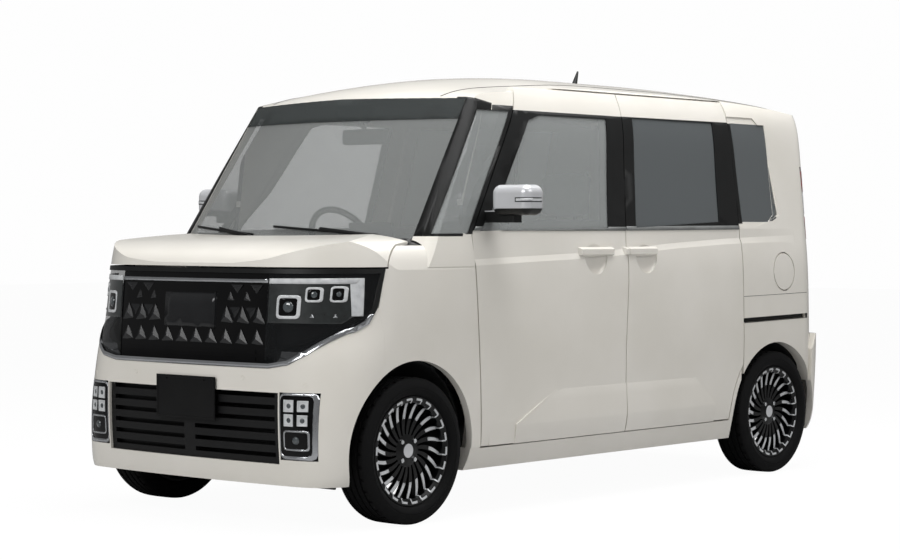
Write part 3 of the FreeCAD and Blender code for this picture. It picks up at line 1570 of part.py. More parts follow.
# engine and gearbox, one plain block on the subframe
engine = bound("Part::Box", "engine_block",
               ("sizes.engine_x", "-sizes.engine_wide / 2",
                "sizes.subframe_z + sizes.subframe_high + sizes.panel_gap"),
               Length="sizes.engine_long", Width="sizes.engine_wide", Height="sizes.engine_high")
nodes.append(engine)

# rear axle: torsion beam, trailing arms and spindles
beam = axle_rod("torsion_beam", "sizes.beam_radius", "2 * sizes.beam_half", "sizes.beam_x",
                "-sizes.beam_half", "sizes.beam_z")
rear_parts = [beam]
for hand, side in (("left", 1), ("right", -1)):
    arm_y = f"{side} * sizes.beam_half - sizes.trail_wide / 2"
    rear_parts.append(bound("Part::Box", f"trailing_arm_{hand}",
                            ("sizes.front_axle_x - sizes.wheelbase - sizes.trail_tail", arm_y,
                             "sizes.beam_z - sizes.beam_radius"),
                            Length="sizes.trail_long", Width="sizes.trail_wide",
                            Height="sizes.floor_z - sizes.panel_gap - sizes.beam_z + sizes.beam_radius"))
    start = "sizes.beam_half - sizes.trail_wide / 2"
    length = ("sizes.half_track + sizes.spindle_long - sizes.disc_y - sizes.disc_wall"
              f" - 2 * sizes.shut_gap - ({start})")
    rear_parts.append(axle_rod(f"rear_spindle_{hand}", "sizes.spindle_radius", length,
                               "sizes.front_axle_x - sizes.wheelbase",
                               start if side > 0 else f"-({start}) - ({length})", "sizes.tyre_radius"))
joined("rear_axle", rear_parts)

# fuel tank and exhaust under the floor
tank = bound("Part::Box", "fuel_tank", ("sizes.tank_x", "-sizes.tank_wide / 2",
                                        "sizes.floor_z - sizes.tank_high - sizes.panel_gap"),
             Length="sizes.tank_long", Width="sizes.tank_wide", Height="sizes.tank_high")
nodes.append(tank)

# floor: firewall, toe board, cabin floor, heel step and load floor in one bent sheet
floor_top = [
    (g.firewall_x, g.firewall_z),
    (g.firewall_x, g.door_hip_z),
    (g.toe_x, g.floor_z + g.floor_wall),
    (g.heel_x, g.floor_z + g.floor_wall),
    (g.load_x, g.load_z + g.floor_wall),
    (g.tail_wall_x + g.side_wall + g.panel_gap, g.load_z + g.floor_wall),
]
floor_low = [
    (g.tail_wall_x + g.side_wall + g.panel_gap, g.load_z),
    (g.load_x - g.floor_wall / 2, g.load_z),
    (g.heel_x - g.floor_wall / 2, g.floor_z),
    (g.toe_x + g.floor_wall / 2, g.floor_z),
    (g.firewall_x + g.floor_wall, g.door_hip_z),
    (g.firewall_x + g.floor_wall, g.firewall_z),
]
cabin_floor = side_block(floor_top + floor_low, -wide, wide)
cabin_floor = cabin_floor.common(side_solid(g.jamb_wall + g.panel_gap, low_x, high_x))
well_front = rod_y(g.front_axle_x, g.arch_front_z, g.arch_radius + g.liner_wall + g.panel_gap,
                   g.well_inner_y - g.liner_wall - g.panel_gap, wide)
well_rear = rod_y(rear_axle_x, g.arch_rear_z, g.arch_rear_radius + g.liner_wall + g.panel_gap,
                  g.rear_well_inner_y - g.liner_wall - g.panel_gap, wide)
rear_corners = box((low_x, -wide, 0), (g.join_x, wide, high_z))
rear_corners = rear_corners.cut(tail_solid(g.side_wall + g.panel_gap, g.tail_wall_x, TAIL_ROUND))
cabin_floor = cabin_floor.cut(rear_corners)
for well in (well_front, well_rear):
    cabin_floor = cabin_floor.cut(well).cut(mirrored(well))
keep("floor_pan", biggest(cabin_floor))


def liner(x, z, radius, inner_y, keep_in):
    """Wheel-arch liner: a half tube with an inner wall, let into the side panels."""
    outer = rod_y(x, z, radius + g.liner_wall, inner_y - g.liner_wall, wide)
    shell = outer.cut(rod_y(x, z, radius, inner_y, wide + over))
    shell = shell.common(box((low_x, 0, g.liner_foot_z), (high_x, wide, high_z)))
    return biggest(shell.common(keep_in))


front_liner = liner(g.front_axle_x, g.arch_front_z, g.arch_radius, g.well_inner_y,
                    nose_solid(g.panel_wall + g.panel_gap))
front_liner = front_liner.common(side_solid(g.jamb_wall + g.panel_gap, low_x, high_x))
front_liner = biggest(front_liner.cut(fog_block(-g.panel_gap)))
rear_liner = liner(rear_axle_x, g.arch_rear_z, g.arch_rear_radius, g.rear_well_inner_y,
                   tail_solid(g.side_wall + g.frame_gap, g.tail_wall_x, TAIL_ROUND))
rear_liner = rear_liner.common(side_solid(g.side_wall + g.frame_gap, low_x, high_x))
axle_hole = rod_y(rear_axle_x, g.tyre_radius, g.carrier_radius, g.rear_well_inner_y - over,
                  g.rear_well_inner_y + g.liner_wall)
rear_liner = biggest(rear_liner.cut(axle_hole))
keep("wheel_arch_liners",
     Part.makeCompound([front_liner, mirrored(front_liner), rear_liner, mirrored(rear_liner)]))

# dashboard across the cabin
DASH = [
    (g.firewall_x - g.panel_gap, g.dash_top_z - g.panel_wall),
    (g.dash_rear_x + g.dash_lip, g.dash_top_z),
    (g.dash_rear_x, g.dash_top_z - g.dash_lip),
    (g.dash_rear_x + g.dash_lip, g.dash_low_z),
    (g.firewall_x - g.panel_gap, g.dash_low_z),
]
dash = side_block(DASH, -g.dash_half, g.dash_half)
keep("dashboard", dash)


def seat(x, y, wide_y, back_high):
    """A seat: cushion and leaning back in one padded form on its riser."""
    half = wide_y / 2
    low, top = g.seat_low_z, g.seat_top_z
    outline = [
        (x + g.seat_deep, low),
        (x + g.seat_deep, top - g.panel_wall),
        (x + g.seat_deep - g.panel_wall, top),
        (x + g.back_thick, top - g.panel_wall),
        (x + g.back_thick - g.back_lean, back_high),
        (x - g.back_lean + g.panel_wall, back_high),
        (x, low),
    ]
    body = side_block(outline, y - half, y + half)
    riser = box((x + g.back_thick, y - half + g.panel_wall, g.floor_z + g.floor_wall + g.panel_gap),
                (x + g.seat_deep - g.back_thick, y + half - g.panel_wall, low))
    head_x = x - g.back_lean + g.panel_wall
    head = box((head_x, y - g.head_wide / 2, back_high), (head_x + g.head_deep, y + g.head_wide / 2,
                                                          back_high + g.head_high))
    return body.fuse([riser, head])


front_seats = [seat(g.seat_front_x - g.seat_deep, side * g.seat_y, g.seat_wide,
                    g.back_top_z) for side in (1, -1)]
keep("front_seats", Part.makeCompound(front_seats))
rear_seats = [seat(g.rear_seat_x - g.seat_deep + g.back_lean, side * g.rear_seat_y, g.rear_seat_wide,
                   g.back_top_z) for side in (1, -1)]
keep("rear_seats", Part.makeCompound(rear_seats))

# steering wheel on its column
tilt = FreeCAD.Rotation(Y_AXIS, -(90 - g.column_tilt))
spin = tilt.multVec(Z_AXIS)
hub_point = V(g.wheel_centre_x, g.wheel_centre_y, g.wheel_centre_z)
ring = Part.makeTorus(g.wheel_ring, g.wheel_tube, hub_point, spin)
boss = Part.makeCylinder(g.boss_radius, g.boss_long, hub_point - spin * g.boss_long * 0.8, spin)
spokes = []
for angle in (0, 90, 270):
    spoke = Part.makeBox(g.wheel_ring, g.spoke_wide, g.wheel_tube, V(0, -g.spoke_wide / 2,
                                                                     -g.wheel_tube / 2))
    spoke.rotate(V(0, 0, 0), Z_AXIS, 180 + angle)
    spoke.Placement = FreeCAD.Placement(hub_point, tilt).multiply(spoke.Placement)
    spokes.append(spoke)
keep("steering_wheel", ring.fuse([boss] + spokes))
column_start = hub_point - spin * (g.boss_long * 0.8 + g.panel_gap)
column = Part.makeCylinder(g.column_radius, g.column_length, column_start - spin * g.column_length, spin)
keep("steering_column", column.cut(dash))

# inner mirror, number plates, door mirrors
for hand, side in (("left", 1), ("right", -1)):
    housing = Part.makeBox(g.mirror_deep, g.mirror_wide, g.mirror_high,
                           V(g.mirror_x - g.mirror_deep / 2, g.mirror_y - g.mirror_wide / 2,
                             g.mirror_z - g.mirror_high / 2))
    housing = housing.makeFillet(g.mirror_round, housing.Edges)
    arm = Part.makeBox(g.mirror_foot, g.mirror_y - g.glass_half, g.mirror_foot,
                       V(g.mirror_x - g.mirror_foot / 2, g.glass_half, g.mirror_foot_z))
    post = Part.makeBox(g.mirror_foot, g.mirror_foot, g.mirror_z - g.mirror_foot_z,
                        V(g.mirror_x - g.mirror_foot / 2, g.mirror_y - g.mirror_foot, g.mirror_foot_z))
    whole = housing.fuse([arm, post]).cut(side_solid(-g.panel_gap, g.dash_rear_x - over, high_x))
    whole = biggest(whole)
    keep(f"mirror_{hand}", whole if side > 0 else mirrored(whole))

plate_x = g.nose_x + g.plate_stand
plate = box((plate_x - g.plate_thick, -g.plate_wide / 2, g.plate_front_z - g.plate_high / 2),
            (plate_x, g.plate_wide / 2, g.plate_front_z + g.plate_high / 2))
bracket = box((g.nose_x - over, -g.bracket_half, g.intake_top_z + g.panel_wall / 2),
              (plate_x - g.plate_thick, g.bracket_half,
               g.plate_front_z + g.plate_high / 2 - g.panel_wall / 10))
bracket = bracket.cut(nose_solid(-g.panel_gap))
plate = plate.fuse(biggest(bracket))
for hole_y in (-g.plate_hole_span / 2, g.plate_hole_span / 2):
    hole_z = g.plate_front_z + g.plate_high / 2 - g.plate_hole_drop
    plate = plate.cut(Part.makeCylinder(g.plate_hole_radius, over, V(g.nose_x - over / 2, hole_y,
                                                                     hole_z), X_AXIS))
keep("number_plate_front", biggest(plate))
rear_plate = box((g.tail_wall_x - g.panel_gap - g.plate_thick, -g.plate_wide / 2,
                  g.plate_rear_z - g.plate_high / 2),
                 (g.tail_wall_x - g.panel_gap, g.plate_wide / 2, g.plate_rear_z + g.plate_high / 2))
keep("number_plate_rear", rear_plate)
antenna = Part.makeCone(g.antenna_foot, g.antenna_tip, g.antenna_high,
                        V(g.antenna_x, 0, g.roof_z - g.panel_gap), V(-g.antenna_lean, 0, 1))
keep("roof_antenna", antenna.cut(roof_solid(-g.panel_gap)))


def plane_of(body, role):
    return next(item for item in body.Origin.OriginFeatures if item.Role == role)


def sketch_on(body, name, role):
    sketch = body.newObject("Sketcher::SketchObject", name)
    sketch.AttachmentSupport = (plane_of(body, role), [""])
    sketch.MapMode = "FlatFace"
    return sketch


def closed_line(sketch, points):
    """A closed chain of straight lines in a sketch."""
    for start, end in zip(points, points[1:] + points[:1]):
        sketch.addGeometry(Part.LineSegment(V(*start, 0), V(*end, 0)), False)


def turned(body, sketch, name):
    """The sketch turned once round the wheel's axle."""
    turn = body.newObject("PartDesign::Revolution", name)
    turn.Profile = sketch
    turn.ReferenceAxis = (sketch, ["H_Axis"])
    turn.Angle = FULL_TURN
    return turn


tyre_half = g.tyre_width / 2


def make_tyre(name, x, y):
    """A low tyre: straight beads, bulged sidewalls, shoulders and a flat tread."""
    body = doc.addObject("PartDesign::Body", name)
    body.Label = name
    sketch = sketch_on(body, name + "_section", "YZ_Plane")
    foot, seat, lift = g.bead_half, g.bead_radius, g.rim_radius + g.running_gap * 10
    shoulder, edge = g.shoulder_y, g.tyre_radius
    bulge = (g.tyre_radius + g.bead_radius) / 2
    closed_line(sketch, [
        (-foot, seat),
        (-foot, lift),
        (-tyre_half, bulge),
        (-shoulder, edge),
        (shoulder, edge),
        (tyre_half, bulge),
        (foot, lift),
        (foot, seat),
    ])
    turned(body, sketch, name + "_ring")
    placed(body, x, y, "sizes.tyre_radius")
    nodes.append(body)
    return body


def make_wheel(name, x, y, side):
    """Cast wheel: rim, hub and brake disc turned in one, with blades swept round it."""
    body = doc.addObject("PartDesign::Body", name)
    body.Label = name
    rim = sketch_on(body, name + "_rim_section", "YZ_Plane")
    seat = g.bead_radius - g.glass_seat
    foot = g.bead_half + g.glass_seat
    lip = foot + g.rim_flange
    wall = g.rim_wall
    closed_line(rim, [
        (-lip, g.rim_radius),
        (-foot, g.rim_radius),
        (-foot, seat),
        (foot, seat),
        (foot, g.rim_radius),
        (lip, g.rim_radius),
        (lip, g.rim_radius - wall),
        (foot, seat - wall),
        (-lip, seat - wall),
    ])
    turned(body, rim, name + "_rim")
    hub = sketch_on(body, name + "_hub_section", "YZ_Plane")
    back, front = -side * g.disc_y, side * g.blade_face_y
    disc_far = back - side * g.disc_wall
    bore = g.spindle_radius + g.running_gap
    hub_end = side * g.hub_face_y
    closed_line(hub, [
        (disc_far, bore),
        (disc_far, g.disc_radius),
        (back, g.disc_radius),
        (back, g.hub_radius),
        (front, g.hub_radius),
        (hub_end, g.cap_radius),
        (hub_end, 0),
        (hub_end - side * g.rim_wall, 0),
        (hub_end - side * g.rim_wall, bore),
    ])
    turned(body, hub, name + "_hub")
    blade = sketch_on(body, name + "_blade_outline", "XZ_Plane")
    inner, outer = g.hub_radius - wall, g.bead_radius - g.glass_seat - wall / 2
    root, tip = g.blade_root / 2, g.blade_tip / 2
    sweep = -side * g.blade_sweep
    bend = sweep * g.blade_bend_share
    knee = (inner + outer) / 2
    blade.addGeometry(Part.Arc(V(-root, inner, 0), V(bend - tip, knee, 0), V(sweep - tip, outer, 0)), False)
    blade.addGeometry(Part.LineSegment(V(sweep - tip, outer, 0), V(sweep + tip, outer, 0)), False)
    blade.addGeometry(Part.Arc(V(sweep + tip, outer, 0), V(bend + tip, knee, 0), V(root, inner, 0)), False)
    blade.addGeometry(Part.LineSegment(V(root, inner, 0), V(-root, inner, 0)), False)
    blade.AttachmentOffset = FreeCAD.Placement(V(0, 0, -front), FreeCAD.Rotation())
    pad = body.newObject("PartDesign::Pad", name + "_blade")
    pad.Profile = blade
    pad.Length = g.blade_deep
    pad.Reversed = side < 0
    doc.recompute()
    ring = body.newObject("PartDesign::PolarPattern", name + "_blades")
    ring.Originals = [pad]
    ring.Axis = (plane_of(body, "Y_Axis"), [""])
    ring.Angle = FULL_TURN
    ring.Occurrences = int(g.blade_count)
    body.Tip = ring
    placed(body, x, y, "sizes.tyre_radius")
    nodes.append(body)
    return body


for place, x in (("front", "sizes.front_axle_x"), ("rear", "sizes.front_axle_x - sizes.wheelbase")):
    for hand, side in (("left", 1), ("right", -1)):
        y = f"{side} * sizes.half_track"
        make_tyre(f"tyre_{place}_{hand}", x, y)
        make_wheel(f"wheel_{place}_{hand}", x, y, side)

doc.recompute()
for item in doc.Objects:
    if "Invalid" in item.State or "Error" in item.State:
        raise RuntimeError(f"{item.Name} did not compute")
for node in nodes:
    if node.Shape.isNull() or not node.Shape.isValid() or not node.Shape.Solids:
        raise RuntimeError(f"{node.Label} has no sound solid")
    node.Shape.exportStep(f"parts/{node.Label}.step")
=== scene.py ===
# %% [markdown]
# A small, tall-roofed car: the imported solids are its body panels, glass, seats and
# running gear. This script lights them, gives each surface its finish, and adds the
# forms that are too fine for the solids.

# %% Load the solids
import math

import bmesh
import bpy
from mathutils import Matrix, Vector


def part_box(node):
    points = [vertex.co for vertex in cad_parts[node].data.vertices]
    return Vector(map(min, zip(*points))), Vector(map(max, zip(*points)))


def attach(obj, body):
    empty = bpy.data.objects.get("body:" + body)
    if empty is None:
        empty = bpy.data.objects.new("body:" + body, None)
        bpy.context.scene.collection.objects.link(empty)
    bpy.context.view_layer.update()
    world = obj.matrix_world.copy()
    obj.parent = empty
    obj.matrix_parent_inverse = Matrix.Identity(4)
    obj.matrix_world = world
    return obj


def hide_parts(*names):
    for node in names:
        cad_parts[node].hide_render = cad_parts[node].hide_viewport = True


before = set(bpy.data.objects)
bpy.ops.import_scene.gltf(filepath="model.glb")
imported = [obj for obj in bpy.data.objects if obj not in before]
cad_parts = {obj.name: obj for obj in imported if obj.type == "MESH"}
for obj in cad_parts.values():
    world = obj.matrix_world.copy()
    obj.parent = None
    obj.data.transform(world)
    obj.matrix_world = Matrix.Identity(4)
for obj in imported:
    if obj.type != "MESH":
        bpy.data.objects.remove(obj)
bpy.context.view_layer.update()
print("solids:", len(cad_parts))
scene = bpy.context.scene
scene.view_settings.view_transform = "Standard"

# %% [markdown]
# The camera stands where the photograph was taken from: about ten metres away, at
# chest height, with a long lens, so the verticals stay nearly upright.

# %% Camera
EYE = Vector((7.5467, 6.4358, 1.1230))
HEADING, RISE, ROLL = (math.radians(angle) for angle in (40.819, 1.3668, 0.073))
FOCAL_MM, SENSOR_MM = 90.23, 36.0
LENS_SHIFT = (-0.0104, 0.0034)
level = math.cos(RISE)
back = Vector((math.cos(HEADING) * level, math.sin(HEADING) * level, math.sin(RISE)))
across = Vector((0, 0, 1)).cross(back).normalized()
turn = Matrix((across, back.cross(across), back)).transposed().to_4x4()
lens = bpy.data.cameras.new("photo_camera")
lens.lens, lens.sensor_width = FOCAL_MM, SENSOR_MM
lens.shift_x, lens.shift_y = LENS_SHIFT
camera = bpy.data.objects.new("photo_camera", lens)
camera.matrix_world = Matrix.Translation(EYE) @ turn @ Matrix.Rotation(ROLL, 4, "Z")
scene.collection.objects.link(camera)
scene.camera = camera
print("camera height:", EYE.z)

# %% [markdown]
# Colours are written as sRGB hex, as a paint chart gives them, and turned to linear
# values once. One small function adds a shader node with its settings and links.


# %% Colour and node helpers
def colour(hex_code):
    channels = [int(hex_code[i:i + 2], 16) / 255 for i in (1, 3, 5)]
    linear = [c / 12.92 if c <= 0.04045 else ((c + 0.055) / 1.055) ** 2.4 for c in channels]
    return (*linear, 1.0)


def add_node(tree, kind, settings=None, links=None):
    node = tree.nodes.new(kind)
    for key, value in (settings or {}).items():
        if isinstance(key, int) or key in node.inputs:
            node.inputs[key].default_value = value
        else:
            setattr(node, key, value)
    for key, source in (links or {}).items():
        tree.links.new(source, node.inputs[key])
    return node


# %% [markdown]
# Every finish is built alike. A noise varies the roughness between two values and, where
# two tones are given, the colour between them. A grain is a bump: cells for a moulded
# surface, threads for cloth, turned lines for machined metal, or that same noise. All
# patterns lie in object coordinates, in metres, so a scale of 1000 is a millimetre.


# %% Finishes
PATTERNS = {
    "cells": ("ShaderNodeTexVoronoi", {}, "Distance"),
    "threads": ("ShaderNodeTexWave", {"bands_direction": "DIAGONAL"}, "Fac"),
    "turned": ("ShaderNodeTexNoise", {"Detail": 2.0}, "Fac"),
}
TONE_STOPS = (0.35, 0.65)


def pattern(tree, kind, settings):
    place = add_node(tree, "ShaderNodeTexCoord").outputs["Object"]
    return add_node(tree, kind, settings, {"Vector": place})


def vary(tree, shader, low, high, scale, *tones):
    """Vary the roughness, and between two tones the colour, a little over the surface."""
    noise = pattern(tree, "ShaderNodeTexNoise", {"Scale": scale, "Detail": 3.0 if tones else 1.0})
    amount = noise.outputs["Fac"]
    gloss = add_node(tree, "ShaderNodeMapRange", {"To Min": low, "To Max": high}, {"Value": amount})
    tree.links.new(gloss.outputs["Result"], shader.inputs["Roughness"])
    if tones:
        tint = add_node(tree, "ShaderNodeValToRGB", None, {"Fac": amount})
        for stop, position, tone in zip(tint.color_ramp.elements, TONE_STOPS, tones):
            stop.position = position
            stop.color = colour(tone)
        tree.links.new(tint.outputs["Color"], shader.inputs["Base Color"])
    return amount


def finish(name, base, rough, mottle=None, grain=None, metallic=0.0, coat=None, **sockets):
    """A new material: mottle is (least and most roughness, scale, dark and light tone),
    grain is (pattern, bump strength, bump depth, scale), coat is (weight, roughness)."""
    material = bpy.data.materials.new(name)
    material.use_nodes = True
    tree = material.node_tree
    shader = tree.nodes["Principled BSDF"]
    sockets.update(Roughness=rough, Metallic=metallic)
    if coat:
        sockets.update(Coat_Weight=coat[0], Coat_Roughness=coat[1])
    shader.inputs["Base Color"].default_value = colour(base)
    for key, value in sockets.items():
        shader.inputs[key.replace("_", " ")].default_value = value
    height = vary(tree, shader, *mottle) if mottle else None
    if grain:
        kind, strength, depth, *scale = grain
        if scale:
            shape, settings, socket = PATTERNS[kind]
            height = pattern(tree, shape, {"Scale": scale[0], **settings}).outputs[socket]
        amounts = {"Strength": strength, "Distance": depth}
        bump = add_node(tree, "ShaderNodeBump", amounts, {"Height": height})
        tree.links.new(bump.outputs["Normal"], shader.inputs["Normal"])
    return material


# %% [markdown]
# The body is a warm pearl white: a tinted base with mica under a clear lacquer. The
# mica gives a soft sparkle, far finer than the render can show, so its grain is drawn
# at about a millimetre. The lacquer is a coat layer with low roughness.

# %% Pearl lacquer
finish("pearl_lacquer", "#E6E2DA", 0.38, (0.34, 0.42, 2.5, "#E2DED5", "#E8E4DC"),
       ("cells", 0.02, 0.0002, 900.0), coat=(0.8, 0.04), Coat_IOR=1.5)

# %% [markdown]
# Trim, arch liners and the lower grille are moulded plastic with a fine spark-eroded
# grain of about a third of a millimetre, drawn twice as coarse so that it shows.

# %% Plastics
finish("satin_black_moulding", "#090A0A", 0.42, (0.38, 0.48, 14.0, "#080909", "#0C0D0D"),
       ("cells", 0.08, 0.0003, 1400.0), Specular_IOR_Level=0.35)
finish("charcoal_moulding", "#0C0C0D", 0.5, (0.46, 0.56, 16.0, "#0A0A0B", "#0F0F10"),
       ("cells", 0.08, 0.0003, 1200.0), Specular_IOR_Level=0.3)
finish("piano_black_acrylic", "#030304", 0.14, (0.10, 0.16, 6.0, "#030304", "#060607"),
       Specular_IOR_Level=0.22)
finish("smoked_facet_acrylic", "#131416", 0.24, (0.2, 0.28, 10.0, "#111214", "#161719"),
       Specular_IOR_Level=0.4)
finish("needled_arch_liner", "#0D0D0E", 0.85, (0.8, 0.92, 60.0, "#0A0A0B", "#121213"),
       ("mottle", 0.3, 0.001))
finish("grained_dash_moulding", "#2A2B2D", 0.6, (0.55, 0.68, 20.0, "#262729", "#2E2F31"),
       ("cells", 0.25, 0.0005, 600.0))

# %% [markdown]
# Glass: the screen and front doors are lightly tinted, the rear side glass is the dark
# privacy kind. Each pane is a thin solid, so it is drawn as a see-through tint with a
# sharp reflection, which keeps the cabin lit. The screen's upper band is a darker, matt
# sheet: painted shade, standing for the dark under the roof seen through the glass.

# %% Glass
PANES = {
    "green_tint_float_glass": ("#BABEBD", 0.40, 0.02),
    "laminated_screen_glass": ("#969998", 0.38, 0.02),
    "privacy_float_glass": ("#5F6365", 0.86, 0.03),
    "clear_lamp_polycarbonate": ("#141618", 0.5, 0.02),
}
for name, (tint, cover, rough) in PANES.items():
    finish(name, tint, rough, (rough, rough * 2, 1.6), Alpha=cover, IOR=1.52)
finish("printed_glass_border", "#515557", 0.08, (0.06, 0.10, 5.0, "#4F5355", "#545859"))
finish("grey_weather_strip", "#6E706F", 0.45, (0.4, 0.52, 20.0, "#686A69", "#747675"))
# Painted shade: a darker, half see-through band at the top of the screen stands for the shade under
# the roof.
finish("painted_shade_glass_band", "#3E4242", 0.42, (0.40, 0.46, 2.0), Alpha=0.6, Specular_IOR_Level=0.15)
finish("silvered_mirror_glass", "#C9CCCE", 0.03, (0.02, 0.05, 3.0), metallic=1.0)

# %% [markdown]
# Inside the lamps: frosted acrylic that spreads the light along its edge, clear lenses
# over dark bowls, and the black reflector moulding round them.

# %% Lamp plastics
finish("frosted_light_guide", "#C9CBCC", 0.28, (0.24, 0.34, 30.0, "#C2C4C6", "#D2D4D5"),
       coat=(0.5, 0.05))
finish("clear_lens_acrylic", "#3C4244", 0.04, (0.03, 0.06, 60.0, "#30373A", "#4A5053"),
       coat=(1.0, 0.02))
finish("lamp_reflector_black", "#181D1D", 0.3, (0.24, 0.36, 40.0, "#141818", "#1D2222"),
       ("mottle", 0.2, 0.0008), coat=(0.6, 0.04))
finish("smoked_lamp_acrylic", "#2A0C0D", 0.1, (0.08, 0.13, 5.0, "#260A0B", "#300E0F"),
       coat=(0.6, 0.03))
finish("red_lamp_acrylic", "#7A1214", 0.12, (0.10, 0.15, 8.0, "#701012", "#841517"),
       coat=(0.6, 0.03))

# %% [markdown]
# Metals: satin plated trim, cast and machined alloy, forged and painted steel below.

# %% Metals
finish("satin_chromed_abs", "#B9BBBE", 0.2, (0.17, 0.24, 9.0, "#B4B6B9", "#BEC0C3"),
       metallic=1.0)
finish("silver_lacquered_shell", "#D6D7DA", 0.36, (0.28, 0.36, 5.0, "#D2D3D6", "#DADBDE"),
       metallic=0.3, coat=(0.6, 0.05))
finish("diamond_cut_alloy", "#DADCDE", 0.34, None, ("turned", 0.05, 0.0002, 300.0),
       metallic=0.45)
finish("bright_plated_steel", "#D8DADC", 0.22, (0.18, 0.28, 40.0, "#D0D2D4", "#E0E2E4"),
       metallic=1.0)
finish("black_lacquered_alloy", "#040405", 0.32, (0.24, 0.34, 12.0, "#030304", "#060607"),
       Specular_IOR_Level=0.3)
finish("black_painted_steel", "#1D1D1E", 0.55, (0.45, 0.7, 45.0, "#19191A", "#252526"),
       ("mottle", 0.2, 0.0006), metallic=0.3)
finish("stone_chip_coating", "#232425", 0.8, (0.7, 0.9, 90.0, "#1E1F20", "#292A2B"),
       ("mottle", 0.4, 0.001))

# %% [markdown]
# Tyre rubber is nearly black with a dry, slightly mottled skin. Seat cloth is a plain
# weave, drawn with threads two to four millimetres apart so that they show. The plates'
# enamel is smooth and dark.

# %% Rubber, cloth and enamel
finish("tyre_rubber", "#060607", 0.82, (0.72, 0.88, 30.0, "#050506", "#09090A"),
       ("mottle", 0.15, 0.0005), Specular_IOR_Level=0.2)
finish("woven_seat_cloth", "#3A3A3B", 0.9, (0.85, 0.95, 25.0, "#353536", "#404041"),
       ("threads", 0.3, 0.0008, 160.0), Sheen_Weight=0.3)
finish("enamelled_plate", "#060607", 0.4, (0.3, 0.4, 8.0, "#060607", "#09090A"),
       Specular_IOR_Level=0.25)

# %% Give the solids their finishes
WHEELS = ["front_left", "front_right", "rear_left", "rear_right"]
FINISHES = {
    "satin_black_moulding": [
        "cowl_panel", "roof_antenna", "steering_wheel", "steering_column", "grille_frame"],
    "charcoal_moulding": ["lower_grille"],
    "piano_black_acrylic": ["front_grille", "fog_lamps"],
    "needled_arch_liner": ["wheel_arch_liners"],
    "grained_dash_moulding": ["dashboard"],
    "green_tint_float_glass": [
        "front_door_glass_left", "front_door_glass_right", "front_quarter_glass"],
    "laminated_screen_glass": ["windshield"],
    "privacy_float_glass": ["sliding_door_glass", "rear_quarter_glass", "tailgate_glass"],
    "clear_lamp_polycarbonate": ["headlamp_left", "headlamp_right"],
    "silver_lacquered_shell": ["mirror_left", "mirror_right"],
    "black_lacquered_alloy": [f"wheel_{corner}" for corner in WHEELS],
    "black_painted_steel": [
        "engine_block", "front_subframe", "rear_axle", "fuel_tank",
        "knuckle_left", "knuckle_right"],
    "stone_chip_coating": ["floor_pan"],
    "tyre_rubber": [f"tyre_{corner}" for corner in WHEELS],
    "woven_seat_cloth": ["front_seats", "rear_seats"],
    "enamelled_plate": ["number_plate_front", "number_plate_rear"],
    "smoked_lamp_acrylic": ["rear_lamps"],
}
node_finish = {node: name for name, found in FINISHES.items() for node in found}
for node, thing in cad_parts.items():
    thing.data.materials.clear()
    thing.data.materials.append(bpy.data.materials[node_finish.get(node, "pearl_lacquer")])
print("solids with a finish of their own:", len(node_finish))

# %% [markdown]
# Modelling goes the same way throughout: a primitive is added with nothing else selected,
# shaped in edit mode, and settled with its place and turn in the mesh. These helpers hold
# the steps that come back in every piece.


# %% Editing helpers
def only(piece):
    """Make this piece the only selected and the active one."""
    bpy.ops.object.select_all(action="DESELECT")
    piece.select_set(True)
    bpy.context.view_layer.objects.active = piece


def pick_all():
    bpy.ops.mesh.select_all(action="SELECT")


def pick_faces(piece, wanted):
    """Select in edit mode the faces for which wanted(centre, normal) is true."""
    bpy.ops.mesh.select_mode(type="FACE")
    mesh = bmesh.from_edit_mesh(piece.data)
    for face in mesh.faces:
        face.select_set(bool(wanted(face.calc_center_median(), face.normal)))
    bmesh.update_edit_mesh(piece.data)


def delete_faces(piece, wanted):
    pick_faces(piece, wanted)
    bpy.ops.mesh.delete(type="FACE")


def start_edit(piece):
    """Open a piece in edit mode with all of it selected."""
    only(piece)
    bpy.ops.object.mode_set(mode="EDIT")
    pick_all()


def end_edit(smooth=None):
    """Leave edit mode; edges flatter than the angle in degrees are then shaded smooth."""
    bpy.ops.object.mode_set(mode="OBJECT")
    if smooth:
        bpy.ops.object.shade_smooth_by_angle(angle=math.radians(smooth))


def move_corners(piece, rule):
    """Put each corner of a piece in edit mode where rule(its place) says."""
    mesh = bmesh.from_edit_mesh(piece.data)
    for corner in mesh.verts:
        corner.co = rule(corner.co)
    bmesh.update_edit_mesh(piece.data)


def resize(x, y, z, centre=(0, 0, 0)):
    bpy.ops.transform.resize(value=(x, y, z), center_override=centre)


def pull(x, y, z):
    """Extrude what is selected by a step."""
    bpy.ops.mesh.extrude_region_move(TRANSFORM_OT_translate={"value": (x, y, z)})


def face_outwards():
    pick_all()
    bpy.ops.mesh.normals_make_consistent(inside=False)


def settle():
    """Put the active piece's place and turn into its mesh."""
    bpy.ops.object.transform_apply(location=True, rotation=True, scale=True)


def stand_on(piece, spot, normal):
    """Put a piece made at the origin on a surface, its Z along the normal."""
    turned = normal.to_track_quat("Z", "Y").to_matrix().to_4x4()
    piece.matrix_world = Matrix.Translation(spot) @ turned
    only(piece)
    settle()
    return piece


def begin(add, place=(0, 0, 0), **settings):
    """A primitive from add(), settled, open in edit mode with all of it selected."""
    bpy.ops.object.select_all(action="DESELECT")
    add(location=place, **settings)
    settle()
    piece = bpy.context.active_object
    start_edit(piece)
    return piece


def sheet(x, y):
    """A rectangle round the origin, open in edit mode."""
    piece = begin(bpy.ops.mesh.primitive_plane_add, size=1.0)
    resize(x, y, 1)
    return piece


def upright(place, facing=1):
    """Turn a form drawn flat to face along X, or backwards with -1, and end the edit."""
    pick_all()
    bpy.ops.transform.rotate(
        value=-math.pi / 2 * facing, orient_axis="Y", center_override=(0, 0, 0))
    bpy.ops.transform.translate(value=place)
    end_edit()


